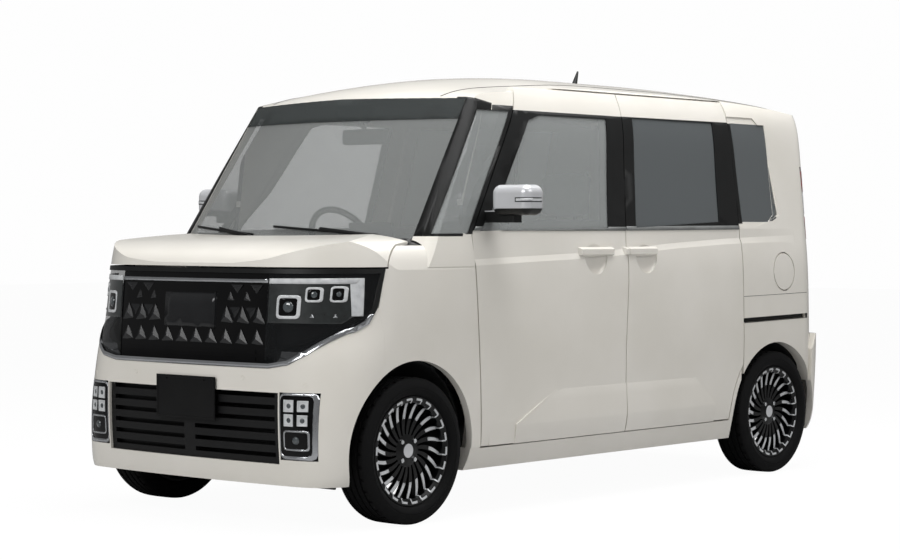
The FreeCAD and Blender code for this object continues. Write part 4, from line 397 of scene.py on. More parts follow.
def apply_all(piece):
    only(piece)
    for modifier in list(piece.modifiers):
        bpy.ops.object.modifier_apply(modifier=modifier.name)


def solidified(piece, thick, offset=-1.0):
    wall = piece.modifiers.new("wall", "SOLIDIFY")
    wall.thickness = thick
    wall.offset = offset
    apply_all(piece)
    return piece


def twin_of(piece):
    twin = piece.copy()
    twin.data = piece.data.copy()
    scene.collection.objects.link(twin)
    return twin


def joined(pieces):
    bpy.ops.object.select_all(action="DESELECT")
    for piece in pieces:
        piece.select_set(True)
    bpy.context.view_layer.objects.active = pieces[0]
    bpy.ops.object.join()
    return pieces[0]


def count_of(piece):
    return len(piece.data.polygons)


def dress(piece, name, material, body):
    """Name a finished piece, give it its finish and let it ride on a body."""
    piece.name = name
    piece.data.name = name
    piece.data.materials.clear()
    piece.data.materials.append(bpy.data.materials[material])
    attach(piece, body)
    return piece


SHELL = ("body", "body")
DOORS = ("front_door_left", "front_door_right")


def both_sides(piece, name, material, bodies=SHELL):
    """Dress a left piece and its mirrored twin on the right."""
    twin = twin_of(piece)
    start_edit(twin)
    resize(1, -1, 1)
    bpy.ops.mesh.flip_normals()
    end_edit()
    dress(piece, name + "_left", material, bodies[0])
    dress(twin, name + "_right", material, bodies[1])


# %% [markdown]
# Many details of a car are thin skins over a panel: black film on the door frames, a
# lamp's bright outline, a chrome strip. Each is made from the panel itself: a copy of
# it is cut along straight lines with bisect, and the part that stays is given a
# thickness with Solidify, so that it follows the curved surface exactly.


# %% Skin helpers
AXES = {
    "side": (Vector((1, 0, 0)), Vector((0, 0, 1))),
    "front": (Vector((0, 1, 0)), Vector((0, 0, 1))),
    "top": (Vector((1, 0, 0)), Vector((0, 1, 0))),
}
SAME_PLACE = 0.00002
FACES_IT, FACES_IT_WRAPPED = 0.25, -0.35
FILM = 0.0006


def free_copy(node):
    """A copy of a solid, free of its body, in edit mode with its doubled corners merged."""
    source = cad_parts[node]
    piece = twin_of(source)
    piece.parent = None
    piece.matrix_world = Matrix.Identity(4)
    piece.modifiers.clear()
    for key in list(piece.keys()):
        del piece[key]
    piece.hide_render = False
    start_edit(piece)
    bpy.ops.mesh.remove_doubles(threshold=SAME_PLACE)
    return piece


def edges_of(outline, view):
    """Each edge of an outline, as a point on it and its normal in the view's plane."""
    first, second = AXES[view]
    for start, end in zip(outline, outline[1:] + outline[:1]):
        along = first * (end[0] - start[0]) + second * (end[1] - start[1])
        place = first * start[0] + second * start[1]
        yield place, along.cross(first.cross(second)).normalized()


def skin(node, view, outline, facing, lift, thick=0.0008, wrap=False):
    """The part of a solid inside a convex outline, seen from one side, as a thin skin.

    With wrap, the skin also goes round the edges of openings and grows outwards."""
    piece = free_copy(node)
    away = Vector(facing)
    least = FACES_IT_WRAPPED if wrap else FACES_IT
    delete_faces(piece, lambda centre, normal: normal.dot(away) < least)
    first, second = AXES[view]
    middle = [sum(point[axis] for point in outline) / len(outline) for axis in (0, 1)]
    centre = first * middle[0] + second * middle[1]
    for place, normal in edges_of(outline, view):
        if (centre - place).dot(normal) > 0:
            normal = -normal
        pick_all()
        bpy.ops.mesh.bisect(plane_co=place, plane_no=normal, clear_outer=True, use_fill=False)
    pick_all()
    bpy.ops.transform.translate(value=away * lift)
    end_edit()
    if thick is None:
        return piece
    return solidified(piece, thick, 1.0 if wrap else -1.0)


def skin_pair(name, material, slot, *cut, bodies=SHELL):
    """A skin on the left side and its twin; cut is what skin() takes."""
    piece = skin(*cut)
    both_sides(piece, name, material, bodies)
    return piece


def oblong(a0, b0, a1, b1):
    return [(a0, b0), (a1, b0), (a1, b1), (a0, b1)]


# %% [markdown]
# The window pillars are blacked out, so that the side glass reads as one band. On a
# real car that is matt film or black paint over the door frames and the front pillar.

# %% Pillar films
DOOR_BAND = [(0.86, 1.118), (0.55, 1.606), (-0.42, 1.606), (-0.42, 1.118)]
SLIDE_BAND = [(-0.08, 1.122), (-0.08, 1.606), (-1.06, 1.610), (-1.06, 1.130)]
door_film = skin_pair("door_film", "satin_black_moulding", "trim", "front_door_left", "side",
                      DOOR_BAND, (0, 1, 0), 0.0, FILM, True, bodies=DOORS)
slide_film = skin_pair("slide_film", "satin_black_moulding", "trim", "sliding_door_left",
                       "side", SLIDE_BAND, (0, 1, 0), 0.0, FILM, True)
BODY_FILMS = [
    ([(1.20, 1.096), (0.90, 1.096), (0.62, 1.628), (0.80, 1.660), (1.24, 1.120)], (0.6, 0.8, 0)),
    ([(0.88, 1.104), (0.76, 1.104), (0.46, 1.622), (0.62, 1.622)], (0.1, 1, 0)),
    ([(-1.00, 1.150), (-1.00, 1.606), (-1.064, 1.606), (-1.064, 1.150)], (0, 1, 0)),
]
for number, (outline, facing) in enumerate(BODY_FILMS):
    skin_pair(f"pillar_film_{number}", "satin_black_moulding", "trim",
              "body_side_left", "side", outline, facing, 0.0, FILM, True)
print("films:", count_of(door_film), count_of(slide_film))

# %% [markdown]
# The rear quarter pane is bonded into its recess, and a printed border on the glass hides
# the glue. The border is a skin on the floor of the recess in the same dark tone.

# %% Quarter pane border
PANE_BORDER = [
    (-1.062, 1.160), (-1.062, 1.600), (-1.200, 1.604), (-1.290, 1.560),
    (-1.322, 1.500), (-1.358, 1.200), (-1.345, 1.176), (-1.310, 1.164)]
pane_border = skin_pair("quarter_pane_border", "printed_glass_border", "dark_glass",
                        "body_side_left", "side", PANE_BORDER, (-0.1, 1, 0), 0.0008)
print("quarter border:", count_of(pane_border))

# %% [markdown]
# The wheels are black alloy. Only the outer half of each blade is turned bright on a
# lathe. From its end a strip climbs the barrel, and a short hook follows the rim.
# The bright face is a thin skin over the blade, a little narrower than it.


# %% Machined blade faces
AXLES = {"front": 1.1985, "rear": -1.2965}
HANDS = {"left": 1, "right": -1}
HUB_Y, HUB_Z, FACE_Y = 0.65, 0.281, 0.690
HUBS = [
    (f"{end}_{hand}", side, (x, side * HUB_Y, HUB_Z))
    for end, x in AXLES.items() for hand, side in HANDS.items()]
BLADES = 22
BRIGHT_FROM, BRIGHT_TO = 0.120, 0.195
BLADE_EDGE, FACE_THICK = 0.0030, 0.0016
HOOK_RADIUS, RISER_RADIUS = 0.1975, 0.1828
WHOLE_TURN = 2 * math.pi


def wheel_face(node, side):
    """The outer parts of one wheel's blades, inset so that a black edge stays round each."""
    piece = free_copy(node)
    low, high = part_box(node)
    middle = Vector([(a + b) / 2 for a, b in zip(low, high)])
    delete_faces(piece, lambda centre, normal: (
        abs(centre.y - side * FACE_Y) > 0.0006 or normal.y * side < 0.95))
    for number in range(2 * BLADES):
        angle = WHOLE_TURN * number / (2 * BLADES)
        out = Vector((math.cos(angle), 0, math.sin(angle)))
        pick_all()
        bpy.ops.mesh.bisect(plane_co=middle + out * BRIGHT_FROM, plane_no=out)

    def dull(centre, normal):
        reach = math.hypot(centre.x - middle.x, centre.z - middle.z)
        return not BRIGHT_FROM < reach < BRIGHT_TO

    delete_faces(piece, dull)
    pick_all()
    bpy.ops.mesh.dissolve_limited(angle_limit=0.02)
    pick_all()
    bpy.ops.mesh.inset(thickness=BLADE_EDGE, depth=0.0, use_individual=True)
    bpy.ops.mesh.select_all(action="INVERT")
    bpy.ops.mesh.delete(type="FACE")
    pick_all()
    bpy.ops.transform.translate(value=(0, side * 0.0012, 0))
    end_edit()
    return solidified(piece, FACE_THICK)


def rim_hooks(centre, side, start):
    """One short arc on the rim's edge and the strip up to it, and their copies."""
    axle = {"axis": (0, 1, 0)}
    hook = sheet(0.0085, 0.0020)
    bpy.ops.transform.translate(value=(HOOK_RADIUS, side * 0.0662, 0))
    bpy.ops.mesh.spin(steps=4, angle=-side * math.radians(9.0), center=(0, 0, 0), **axle)
    pick_all()
    bpy.ops.mesh.remove_doubles(threshold=0.00005)
    bpy.ops.mesh.primitive_plane_add(size=1.0, location=(0, 0, 0))
    resize(0.0014, 0.0052, 1)
    bpy.ops.transform.rotate(value=math.pi / 2, orient_axis="X", center_override=(0, 0, 0))
    bpy.ops.transform.translate(value=(RISER_RADIUS, side * 0.0400, 0))
    pull(0, side * 0.0192, 0)
    pull(0.0132, side * 0.0078, 0)
    face_outwards()
    mesh = bmesh.from_edit_mesh(hook.data)
    mesh.transform(Matrix.Rotation(-start, 4, "Y"))
    bmesh.update_edit_mesh(hook.data)
    pick_all()
    bpy.ops.transform.translate(value=centre)
    bpy.ops.mesh.spin(steps=BLADES - 1, dupli=True, angle=WHOLE_TURN * (BLADES - 1) / BLADES,
                      center=centre, **axle)
    end_edit()
    return hook


for wheel, side, hub in HUBS:
    node = f"wheel_{wheel}"
    face = wheel_face(node, side)
    dress(face, f"blade_faces_{wheel}", "diamond_cut_alloy", node)
    reaches = [(point.co.x - hub[0], point.co.z - hub[2]) for point in face.data.vertices]
    tip_x, tip_z = max(reaches, key=lambda reach: math.hypot(*reach))
    hooks = rim_hooks(hub, side, math.atan2(tip_z, tip_x))
    dress(hooks, f"rim_hooks_{wheel}", "diamond_cut_alloy", node)
print("blade faces on one wheel:", count_of(face))

# %% [markdown]
# A tyre is drawn as one section spun round the axle: sidewall ribs, a rounded shoulder
# and four grooves round the tread. Sipes across the tread are cut as short slots in the
# shoulder ribs by moving in every fourth strip.


# %% Tyres
def lathe(section, centre, steps, merge=0.00005):
    """Spin a closed section of (y, radius) pairs round an axle through the centre."""
    piece = begin(bpy.ops.mesh.primitive_circle_add, centre,
                  vertices=len(section), radius=0.1, fill_type="NOTHING")
    mesh = bmesh.from_edit_mesh(piece.data)
    for corner, (y, radius) in zip(mesh.verts, section):
        corner.co = (centre[0], centre[1] + y, centre[2] + radius)
    bmesh.update_edit_mesh(piece.data)
    pick_all()
    bpy.ops.mesh.spin(steps=steps, angle=WHOLE_TURN, center=centre, axis=(0, 1, 0))
    pick_all()
    bpy.ops.mesh.remove_doubles(threshold=merge)
    bpy.ops.mesh.normals_make_consistent(inside=False)
    end_edit()
    return piece


HALF_TYRE = [
    (0.0580, 0.1925), (0.0582, 0.2085), (0.0640, 0.2105), (0.0655, 0.2125), (0.0690, 0.2140),
    (0.0755, 0.2215), (0.0800, 0.2300), (0.0818, 0.2370), (0.0808, 0.2375), (0.0806, 0.2430),
    (0.0818, 0.2438), (0.0806, 0.2530), (0.0775, 0.2640), (0.0735, 0.2725), (0.0700, 0.2772),
    (0.0640, 0.2796), (0.0560, 0.2803), (0.0480, 0.2806), (0.0478, 0.2742), (0.0412, 0.2742),
    (0.0410, 0.2807), (0.0300, 0.2809), (0.0190, 0.2810), (0.0188, 0.2742), (0.0112, 0.2742),
    (0.0110, 0.2810),
]
TYRE = HALF_TYRE + [(-y, radius) for y, radius in reversed(HALF_TYRE)]
TREAD_STEPS = 144
TREAD_FROM, RIB_IN, RIB_OUT = 0.2785, 0.049, 0.068
SLOT_EVERY, SLOT_DEPTH = 4, 0.0045


def cut_slots(piece, centre):
    """Slots across the outer ribs of the tread, one strip in four pressed in."""
    def slot_here(middle, normal):
        x, z = middle.x - centre[0], middle.z - centre[2]
        strip = int(math.degrees(math.atan2(z, x)) % 360 / (360 / TREAD_STEPS))
        on_rib = RIB_IN < abs(middle.y - centre[1]) < RIB_OUT and normal.y ** 2 < 0.6
        return math.hypot(x, z) > TREAD_FROM and on_rib and strip % SLOT_EVERY == 0

    start_edit(piece)
    pick_faces(piece, slot_here)
    bpy.ops.mesh.inset(thickness=0.0008, depth=-SLOT_DEPTH)
    end_edit(35)


for wheel, side, hub in HUBS:
    tyre = lathe(TYRE, hub, TREAD_STEPS)
    cut_slots(tyre, hub)
    dress(tyre, f"treaded_tyre_{wheel}", "tyre_rubber", f"wheel_{wheel}")
    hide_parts(f"tyre_{wheel}")
print("tyre faces:", count_of(tyre))

# %% [markdown]
# Each wheel has a shallow cap, four nuts round it and a black lip on the rim. The nuts
# are one hexagonal prism with a raised end, copied round the pitch circle.


# %% Cap, nuts and rim lip
CAP = [
    (0.0470, 0.0005), (0.0505, 0.0005), (0.0500, 0.0120), (0.0492, 0.0225),
    (0.0478, 0.0275), (0.0400, 0.0285), (0.0400, 0.0005)]
LIP = [
    (0.0585, 0.1935), (0.0665, 0.2000), (0.0668, 0.2078),
    (0.0662, 0.2080), (0.0655, 0.2003), (0.0580, 0.1945)]
NUT_CIRCLE, NUT_Y = 0.050, 0.6955


def spun(section, side, hub, steps, merge):
    """A round part of one wheel: its section is given for the left side."""
    piece = lathe([(side * y, radius) for y, radius in section], hub, steps, merge)
    bpy.ops.object.shade_smooth_by_angle(angle=math.radians(30))
    return piece


def nut_at(centre, side):
    nut = begin(bpy.ops.mesh.primitive_cylinder_add, centre,
                vertices=6, radius=0.0095, depth=0.012, rotation=(math.pi / 2, 0, 0))
    pick_faces(nut, lambda middle, normal: normal.y * side > 0.9)
    bpy.ops.mesh.inset(thickness=0.0025, depth=0.002)
    end_edit()
    return nut


for wheel, side, hub in HUBS:
    body = f"wheel_{wheel}"
    cap = spun(CAP, side, hub, 32, 0.00003)
    dress(cap, f"cap_{wheel}", "silver_lacquered_shell", body)
    angles = [math.radians(45 + 90 * number) for number in range(4)]
    nuts = joined([
        nut_at((hub[0] + NUT_CIRCLE * math.cos(angle), side * NUT_Y,
                HUB_Z + NUT_CIRCLE * math.sin(angle)), side) for angle in angles])
    dress(nuts, f"nuts_{wheel}", "bright_plated_steel", body)
    lip = spun(LIP, side, hub, 72, 0.00005)
    dress(lip, f"rim_lip_{wheel}", "black_lacquered_alloy", body)
print("nuts:", count_of(nuts))

# %% [markdown]
# The lamp behind its cover: a dark field with three square light guides, a light bar
# along the top that turns down at the outer end, and small studs below. Each guide is
# a ring, made as a skin with its middle cut out, and a lens stands in it.


# %% Outlines for lamps and vents
def soft_box(low, high, r):
    """A rectangle between two corners with corners cut back by r, as a convex outline."""
    (a0, b0), (a1, b1) = low, high
    n = r * 0.3
    return [
        (a0 + r, b0), (a1 - r, b0), (a1 - n, b0 + n), (a1, b0 + r), (a1, b1 - r),
        (a1 - n, b1 - n), (a1 - r, b1), (a0 + r, b1), (a0 + n, b1 - n), (a0, b1 - r),
        (a0, b0 + r), (a0 + n, b0 + n),
    ]


def inside(outline, point):
    """True where a point lies in a convex outline."""
    signs = [
        (end[0] - start[0]) * (point[1] - start[1]) > (end[1] - start[1]) * (point[0] - start[0])
        for start, end in zip(outline, outline[1:] + outline[:1])]
    return all(signs) or not any(signs)


def ring_skin(node, outline, hole, facing, lift, thick):
    """A skin seen from the front, with a convex hole in it."""
    piece = skin(node, "front", outline, facing, lift, None)
    first, second = AXES["front"]
    start_edit(piece)
    for place, normal in edges_of(hole, "front"):
        pick_all()
        bpy.ops.mesh.bisect(plane_co=place, plane_no=normal)
    delete_faces(piece, lambda centre, normal: inside(
        hole, (centre.dot(first), centre.dot(second))))
    end_edit()
    return solidified(piece, thick)


# %% Lamp field and light guides
LAMP = "headlamp_left"
LAMP_OUT = (0.8, 0.6, 0)
FIELD = [(0.414, 0.775), (0.414, 0.922), (0.686, 0.922), (0.684, 0.80), (0.660, 0.772)]
BAR = [(0.412, 0.920), (0.412, 0.939), (0.688, 0.941), (0.680, 0.920)]
BAR_END = [(1.492, 0.800), (1.452, 0.800), (1.438, 0.941), (1.488, 0.941)]
GUIDES = [
    ((0.450, 0.790), (0.540, 0.878), 0.014, 0.011),
    ((0.552, 0.852), (0.606, 0.908), 0.010, 0.008),
    ((0.624, 0.852), (0.666, 0.911), 0.009, 0.007),
]
GUIDE_LIFT, GUIDE_THICK = 0.0030, 0.0028
BAR_LIFT, BAR_THICK = 0.0032, 0.0030
skin_pair("lamp_field", "lamp_reflector_black", "lens",
          LAMP, "front", FIELD, LAMP_OUT, 0.0004, 0.0008)
faces = 0
for number, (low, high, round_off, wide) in enumerate(GUIDES):
    inner = soft_box(
        (low[0] + wide, low[1] + wide), (high[0] - wide, high[1] - wide), round_off * 0.6)
    outer = soft_box(low, high, round_off)
    guide = ring_skin(LAMP, outer, inner, LAMP_OUT, GUIDE_LIFT, GUIDE_THICK)
    faces += count_of(guide)
    both_sides(guide, f"light_guide_{number}", "frosted_light_guide")
    skin_pair(f"guide_floor_{number}", "piano_black_acrylic", "lens",
              LAMP, "front", inner, LAMP_OUT, 0.0008, 0.0008)
skin_pair("light_bar", "frosted_light_guide", "lens",
          LAMP, "front", BAR, LAMP_OUT, BAR_LIFT, BAR_THICK)
skin_pair("light_bar_end", "frosted_light_guide", "lens",
          LAMP, "side", BAR_END, (0, 1, 0), BAR_LIFT, BAR_THICK)
print("light guides:", faces)

# %% [markdown]
# In each guide ring sits a projector lens: a dome pressed from a half sphere by
# resizing, with its back edge drawn out into a bezel. The studs are small bevelled cones.


# %% Projector lenses and studs
FAR = 3
DOME, BEZEL, BEZEL_DEEP = 0.28, 1.18, 0.002
LENS_STAND = 0.001


def surface_at(node, y, z, side=1):
    """A node's foremost point and normal at a width and height, or rearmost with -1."""
    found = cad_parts[node]
    return found.ray_cast(Vector((FAR * side, y, z)), Vector((-side, 0, 0)))[1:3]


def projector(centre, facing, radius):
    piece = begin(bpy.ops.mesh.primitive_uv_sphere_add,
                  segments=28, ring_count=14, radius=radius)
    delete_faces(piece, lambda middle, normal: middle.z < -0.0001)
    pick_all()
    resize(1, 1, DOME)
    bpy.ops.mesh.select_mode(type="EDGE")
    bpy.ops.mesh.select_all(action="DESELECT")
    bpy.ops.mesh.select_non_manifold()
    pull(0, 0, -BEZEL_DEEP)
    resize(BEZEL, BEZEL, 1, (0, 0, -BEZEL_DEEP))
    bpy.ops.mesh.edge_face_add()
    end_edit()
    stand_on(piece, centre, facing)
    bpy.ops.object.shade_smooth_by_angle(angle=math.radians(40))
    return piece


for number, (low, high, _, _) in enumerate(GUIDES):
    spot, normal = surface_at(LAMP, (low[0] + high[0]) / 2, (low[1] + high[1]) / 2)
    lens_piece = projector(spot + normal * LENS_STAND, normal, (high[0] - low[0]) * 0.22)
    both_sides(lens_piece, f"projector_{number}", "clear_lens_acrylic")
STUD_Y, STUD_Z = (0.578, 0.642), 0.800
for number, y in enumerate(STUD_Y):
    spot, normal = surface_at(LAMP, y, STUD_Z)
    stud = begin(bpy.ops.mesh.primitive_cone_add,
                 vertices=3, radius1=0.012, radius2=0.001, depth=0.005)
    bpy.ops.mesh.bevel(offset=0.0006, segments=2)
    end_edit()
    stand_on(stud, spot + normal * 0.002, normal)
    both_sides(stud, f"lamp_stud_{number}", "satin_chromed_abs")
print("stud faces:", count_of(stud))

# %% [markdown]
# A bright blade runs along the top of the grille from lamp to lamp. Below, the bright
# line is a skin over the lower half of the frame alone.

# %% Grille brightwork
BLADE = [(-0.406, 0.9225), (-0.406, 0.9365), (0.406, 0.9365), (0.406, 0.9225)]
BRIGHT_HALF = oblong(-0.001, 0.560, 0.740, 0.806)
blade = skin("front_grille", "front", BLADE, (1, 0, 0), 0.0045, 0.0060)
dress(blade, "grille_blade", "satin_chromed_abs", "body")
low_line = skin_pair("frame_bright_line", "satin_chromed_abs", "silver",
                     "grille_frame", "front", BRIGHT_HALF, (0.78, 0.62, 0), 0.0007, FILM)
print("blade and bright line:", count_of(blade), count_of(low_line))

# %% [markdown]
# Under each headlamp stands a cluster of small lamps in a satin bracket. The bracket is
# a ring skin on the cluster's face, and each small lamp is a tile with a raised, soft
# edge and a lens dome in its middle.


# %% Lamp clusters
CLUSTER = "fog_lamps"
CLUSTER_OUT = (0.92, 0.39, 0)
BRACKET = (soft_box((0.4825, 0.270), (0.6385, 0.5175), 0.022),
           soft_box((0.4875, 0.284), (0.6215, 0.5085), 0.018))
FOG_RING = (soft_box((0.500, 0.304), (0.612, 0.380), 0.012),
            soft_box((0.507, 0.311), (0.605, 0.373), 0.008))
TILE_COLUMNS = ((0.504, 0.549), (0.563, 0.604))
TILE_ROWS = ((0.448, 0.492), (0.396, 0.438))
TILE_LIFT, TILE_BEZEL = 0.004, 0.005
LENS_UP = 0.0016


def tile_on(spot, normal, wide, high):
    """A small square lamp with a raised edge, modelled from a plane."""
    tile = sheet(high, wide)
    pull(0, 0, TILE_LIFT)
    bpy.ops.mesh.inset(thickness=TILE_BEZEL, depth=0.0)
    pull(0, 0, -TILE_LIFT * 0.6)
    pick_all()
    bpy.ops.mesh.bevel(offset=0.0007, segments=2)
    end_edit()
    return stand_on(tile, spot, normal)


def cluster_lens(name, y, z, radius):
    spot, normal = surface_at(CLUSTER, y, z)
    dome = projector(spot + normal * LENS_UP, normal, radius)
    both_sides(dome, name, "clear_lens_acrylic")


bracket = ring_skin(CLUSTER, *BRACKET, CLUSTER_OUT, 0.0028, 0.0026)
both_sides(bracket, "cluster_bracket", "satin_chromed_abs")
number = 0
for low_y, high_y in TILE_COLUMNS:
    for low_z, high_z in TILE_ROWS:
        y, z = (low_y + high_y) / 2, (low_z + high_z) / 2
        tile = tile_on(*surface_at(CLUSTER, y, z), high_y - low_y, high_z - low_z)
        both_sides(tile, f"cluster_tile_{number}", "frosted_light_guide")
        cluster_lens(f"cluster_lens_{number}", y, z, 0.0095)
        number += 1
fog_ring = ring_skin(CLUSTER, *FOG_RING, CLUSTER_OUT, 0.0026, 0.0024)
both_sides(fog_ring, "fog_lamp_ring", "satin_chromed_abs")
cluster_lens("fog_lamp_lens", 0.556, 0.342, 0.013)
print("cluster tiles:", number)

# %% [markdown]
# Behind the lower grille's slots stands the radiator in its duct. Its fins are drawn as
# a coarse wire mesh about eight millimetres apart, so that the slots read as deep.

# %% Radiator core and duct
MOUTH_Z = 0.384
core = begin(bpy.ops.mesh.primitive_grid_add, x_subdivisions=34, y_subdivisions=110, size=1.0)
resize(0.24, 0.90, 1)
upright((1.575, 0, MOUTH_Z))
fins = core.modifiers.new("fins", "WIREFRAME")
fins.thickness = 0.0022
fins.use_even_offset = False
apply_all(core)
dress(core, "radiator_core", "black_painted_steel", "body")

duct = sheet(0.262, 1.160)
bpy.ops.mesh.inset(thickness=0.006, depth=0.0)
pull(0, 0, -0.014)
upright((1.576, 0, MOUTH_Z))
dress(duct, "radiator_duct", "satin_black_moulding", "body")
print("radiator and duct faces:", count_of(core), count_of(duct))

# %% [markdown]
# The right half of the lower grille is closed from behind by a shutter, as the real one
# is. It is a plate with raised ribs along the slats.

# %% Grille shutter
SHUTTER_HIGH, SHUTTER_WIDE, STRIPS = 0.25, 0.44, 12
shutter = sheet(SHUTTER_HIGH, SHUTTER_WIDE)
bpy.ops.mesh.subdivide(number_cuts=STRIPS - 1)
pick_faces(shutter, lambda centre, normal: (
    int((centre.x + SHUTTER_HIGH / 2) / (SHUTTER_HIGH / STRIPS)) % 2 == 0))
pull(0, 0, 0.004)
upright((1.632, -0.235, MOUTH_Z))
dress(shutter, "grille_shutter", "charcoal_moulding", "body")
print("shutter box:", [round(v, 3) for v in shutter.dimensions])

# %% [markdown]
# Round parking sensors sit flush in the bumpers. Each is a disc pressed from a
# cylinder, with a groove round it from an inset pushed inwards.


# %% Parking sensors
SENSOR_RADIUS, SENSOR_SUNK = 0.0095, 0.0012


def disc_in(spot, normal, radius, sides, rings):
    """A disc let into a surface, its face pressed in rings of (width, depth)."""
    disc = begin(bpy.ops.mesh.primitive_cylinder_add, vertices=sides, radius=radius, depth=0.004)
    pick_faces(disc, lambda middle, way: way.z > 0.9)
    for width, depth in rings:
        bpy.ops.mesh.inset(thickness=width, depth=depth)
    end_edit()
    return stand_on(disc, spot - normal * SENSOR_SUNK, normal)


def sensor_on(node, y, z, radius=SENSOR_RADIUS):
    rings = [(radius * 0.16, 0.0), (radius * 0.12, -0.0016), (0.0004, 0.0014)]
    return disc_in(*surface_at(node, y, z), radius, 28, rings)


for number, (y, z) in enumerate(((0.300, 0.566), (0.590, 0.548))):
    sensor = sensor_on("front_bumper", y, z)
    both_sides(sensor, f"front_sensor_{number}", "pearl_lacquer")
print("sensor faces:", count_of(sensor))

# %% [markdown]
# The plates are blank. Each keeps its pressed rim.


# %% Plate rims
def plate_rim(x, z, facing, body, name):
    rim = sheet(0.156, 0.322)
    bpy.ops.mesh.inset(thickness=0.005, depth=0.0)
    bpy.ops.mesh.delete(type="FACE")
    pick_all()
    pull(0, 0, 0.0016)
    bpy.ops.mesh.normals_make_consistent(inside=False)
    bpy.ops.mesh.bevel(offset=0.0007, segments=2)
    upright((x, 0, z), facing)
    return dress(rim, name, "enamelled_plate", body)


front_rim = plate_rim(1.7012, 0.480, 1, "body", "front_plate_rim")
plate_rim(-1.6672, 0.8595, -1, "tailgate", "rear_plate_rim")
print("plate rim faces:", count_of(front_rim))

# %% [markdown]
# The seats are foam under cloth. Each cushion starts as a box in the room that its
# solid holds, gets a few cuts and a crown, is remeshed and then blown up a little as
# cloth, so that its sides pull in between the corners. Seams are pressed in afterwards.


# %% Padded forms
CLOTH_FRAMES = 20


def box_start(low, high):
    """A box of the size between two corners, round the origin and open in edit mode."""
    block = begin(bpy.ops.mesh.primitive_cube_add, size=1.0)
    size = [b - a for a, b in zip(low, high)]
    resize(*size)
    return block, size


def box_end(low, high, smooth=None):
    """Move a box that was shaped round the origin to its room between two corners."""
    pick_all()
    bpy.ops.transform.translate(value=[(a + b) / 2 for a, b in zip(low, high)])
    end_edit(smooth)


def pad_block(low, high, lean=0.0, crown=0.012):
    """A box from low to high, its top leaning back by lean, its faces slightly crowned."""
    block, size = box_start(low, high)
    bpy.ops.mesh.bevel(offset=min(size) * 0.24, segments=3, affect="EDGES")
    pick_all()
    bpy.ops.mesh.subdivide(number_cuts=3)

    def swollen(place):
        u, v, w = (place[axis] / size[axis] * 2 for axis in range(3))
        swell = crown * (1 - u * u * 0.9) * (1 - v * v * 0.9)
        rise = swell * max(-1, min(1, w * 1.4))
        return place.x + lean * (w * 0.5), place.y, place.z + rise

    move_corners(block, swollen)
    box_end(low, high)
    return block


def blown(piece, voxel, most, pressure=4.0):
    """Remesh a form, let it swell as cloth and cap how far a point may move."""
    remesh = piece.modifiers.new("remesh", "REMESH")
    remesh.mode = "VOXEL"
    remesh.voxel_size = voxel
    apply_all(piece)
    before = [corner.co.copy() for corner in piece.data.vertices]
    cloth = piece.modifiers.new("cloth", "CLOTH")
    cloth.settings.quality = 4
    cloth.settings.mass = 0.3
    cloth.settings.tension_stiffness = 12.0
    cloth.settings.compression_stiffness = 12.0
    cloth.settings.use_pressure = True
    cloth.settings.uniform_pressure_force = pressure
    cloth.settings.effector_weights.gravity = 0.0
    cloth.collision_settings.use_collision = False
    cloth.collision_settings.use_self_collision = False
    for number in range(1, CLOTH_FRAMES + 1):
        scene.frame_set(number)
    apply_all(piece)
    scene.frame_set(1)
    for corner, start in zip(piece.data.vertices, before):
        moved = corner.co - start
        if moved.length > most:
            corner.co = start + moved * (most / moved.length)
    bpy.ops.object.shade_smooth()
    return piece


def press_seams(piece, planes, depth, width):
    """Press narrow channels in a padded form where it crosses the given planes."""
    for corner in piece.data.vertices:
        for axis, at, wanted in planes:
            gap = abs(corner.co[axis] - at)
            if gap < width * 2.5 and wanted(corner.normal):
                corner.co -= corner.normal * depth * math.exp(-((gap / width) ** 2))
    piece.data.update()


# %% [markdown]
# A front seat: cushion, back and head restraint. The centre panel is sewn to the side
# bolsters along two seams, and a cross seam divides the cushion at the thigh.


# %% Seat pads
CUSHION = ((-0.150, 0.078, 0.437), (0.316, 0.542, 0.610))
BACK_REST = ((-0.245, 0.082, 0.560), (-0.125, 0.538, 1.166))
HEAD_REST = ((-0.305, 0.196, 1.192), (-0.215, 0.424, 1.358))
BACK_LEAN = -0.150
SEAT_MIDDLE = (0, 0.31, 0)
PLACES = [
    ("front_left", (0, 0, 0), 1.0), ("front_right", (0, -0.62, 0), 1.0),
    ("rear_left", (-0.72, -0.065, 0), 0.975), ("rear_right", (-0.72, -0.555, 0), 0.975)]
KINDS = ("cushion", "back", "head")


def on_top(normal):
    return normal.z > 0.2


def to_front(normal):
    return normal.x > 0.2


def seat_pads():
    cushion = blown(pad_block(*CUSHION), 0.008, 0.012)
    seams = [(1, 0.178, on_top), (1, 0.442, on_top), (0, 0.175, on_top)]
    press_seams(cushion, seams, 0.007, 0.006)
    rest = blown(pad_block(*BACK_REST, lean=BACK_LEAN), 0.008, 0.010)
    seams = [(1, 0.180, to_front), (1, 0.440, to_front), (2, 1.015, to_front)]
    press_seams(rest, seams, 0.007, 0.006)
    head = blown(pad_block(*HEAD_REST, lean=-0.014), 0.006, 0.008)
    press_seams(head, [(1, 0.236, to_front), (1, 0.384, to_front)], 0.004, 0.005)
    return cushion, rest, head


def moved_copy(piece, shift, factor):
    """A copy for another seat, its width scaled about the seat's middle."""
    twin = twin_of(piece)
    start_edit(twin)
    resize(1, factor, 1, SEAT_MIDDLE)
    bpy.ops.transform.translate(value=shift)
    end_edit()
    return twin


pads = seat_pads()
for where, shift, factor in PLACES:
    for kind, pad in zip(KINDS, pads):
        piece = moved_copy(pad, shift, factor)
        dress(piece, f"seat_{kind}_{where}", "woven_seat_cloth", "body")
print("seat pad faces:", [count_of(pad) for pad in pads])
for pad in pads:
    bpy.data.objects.remove(pad)

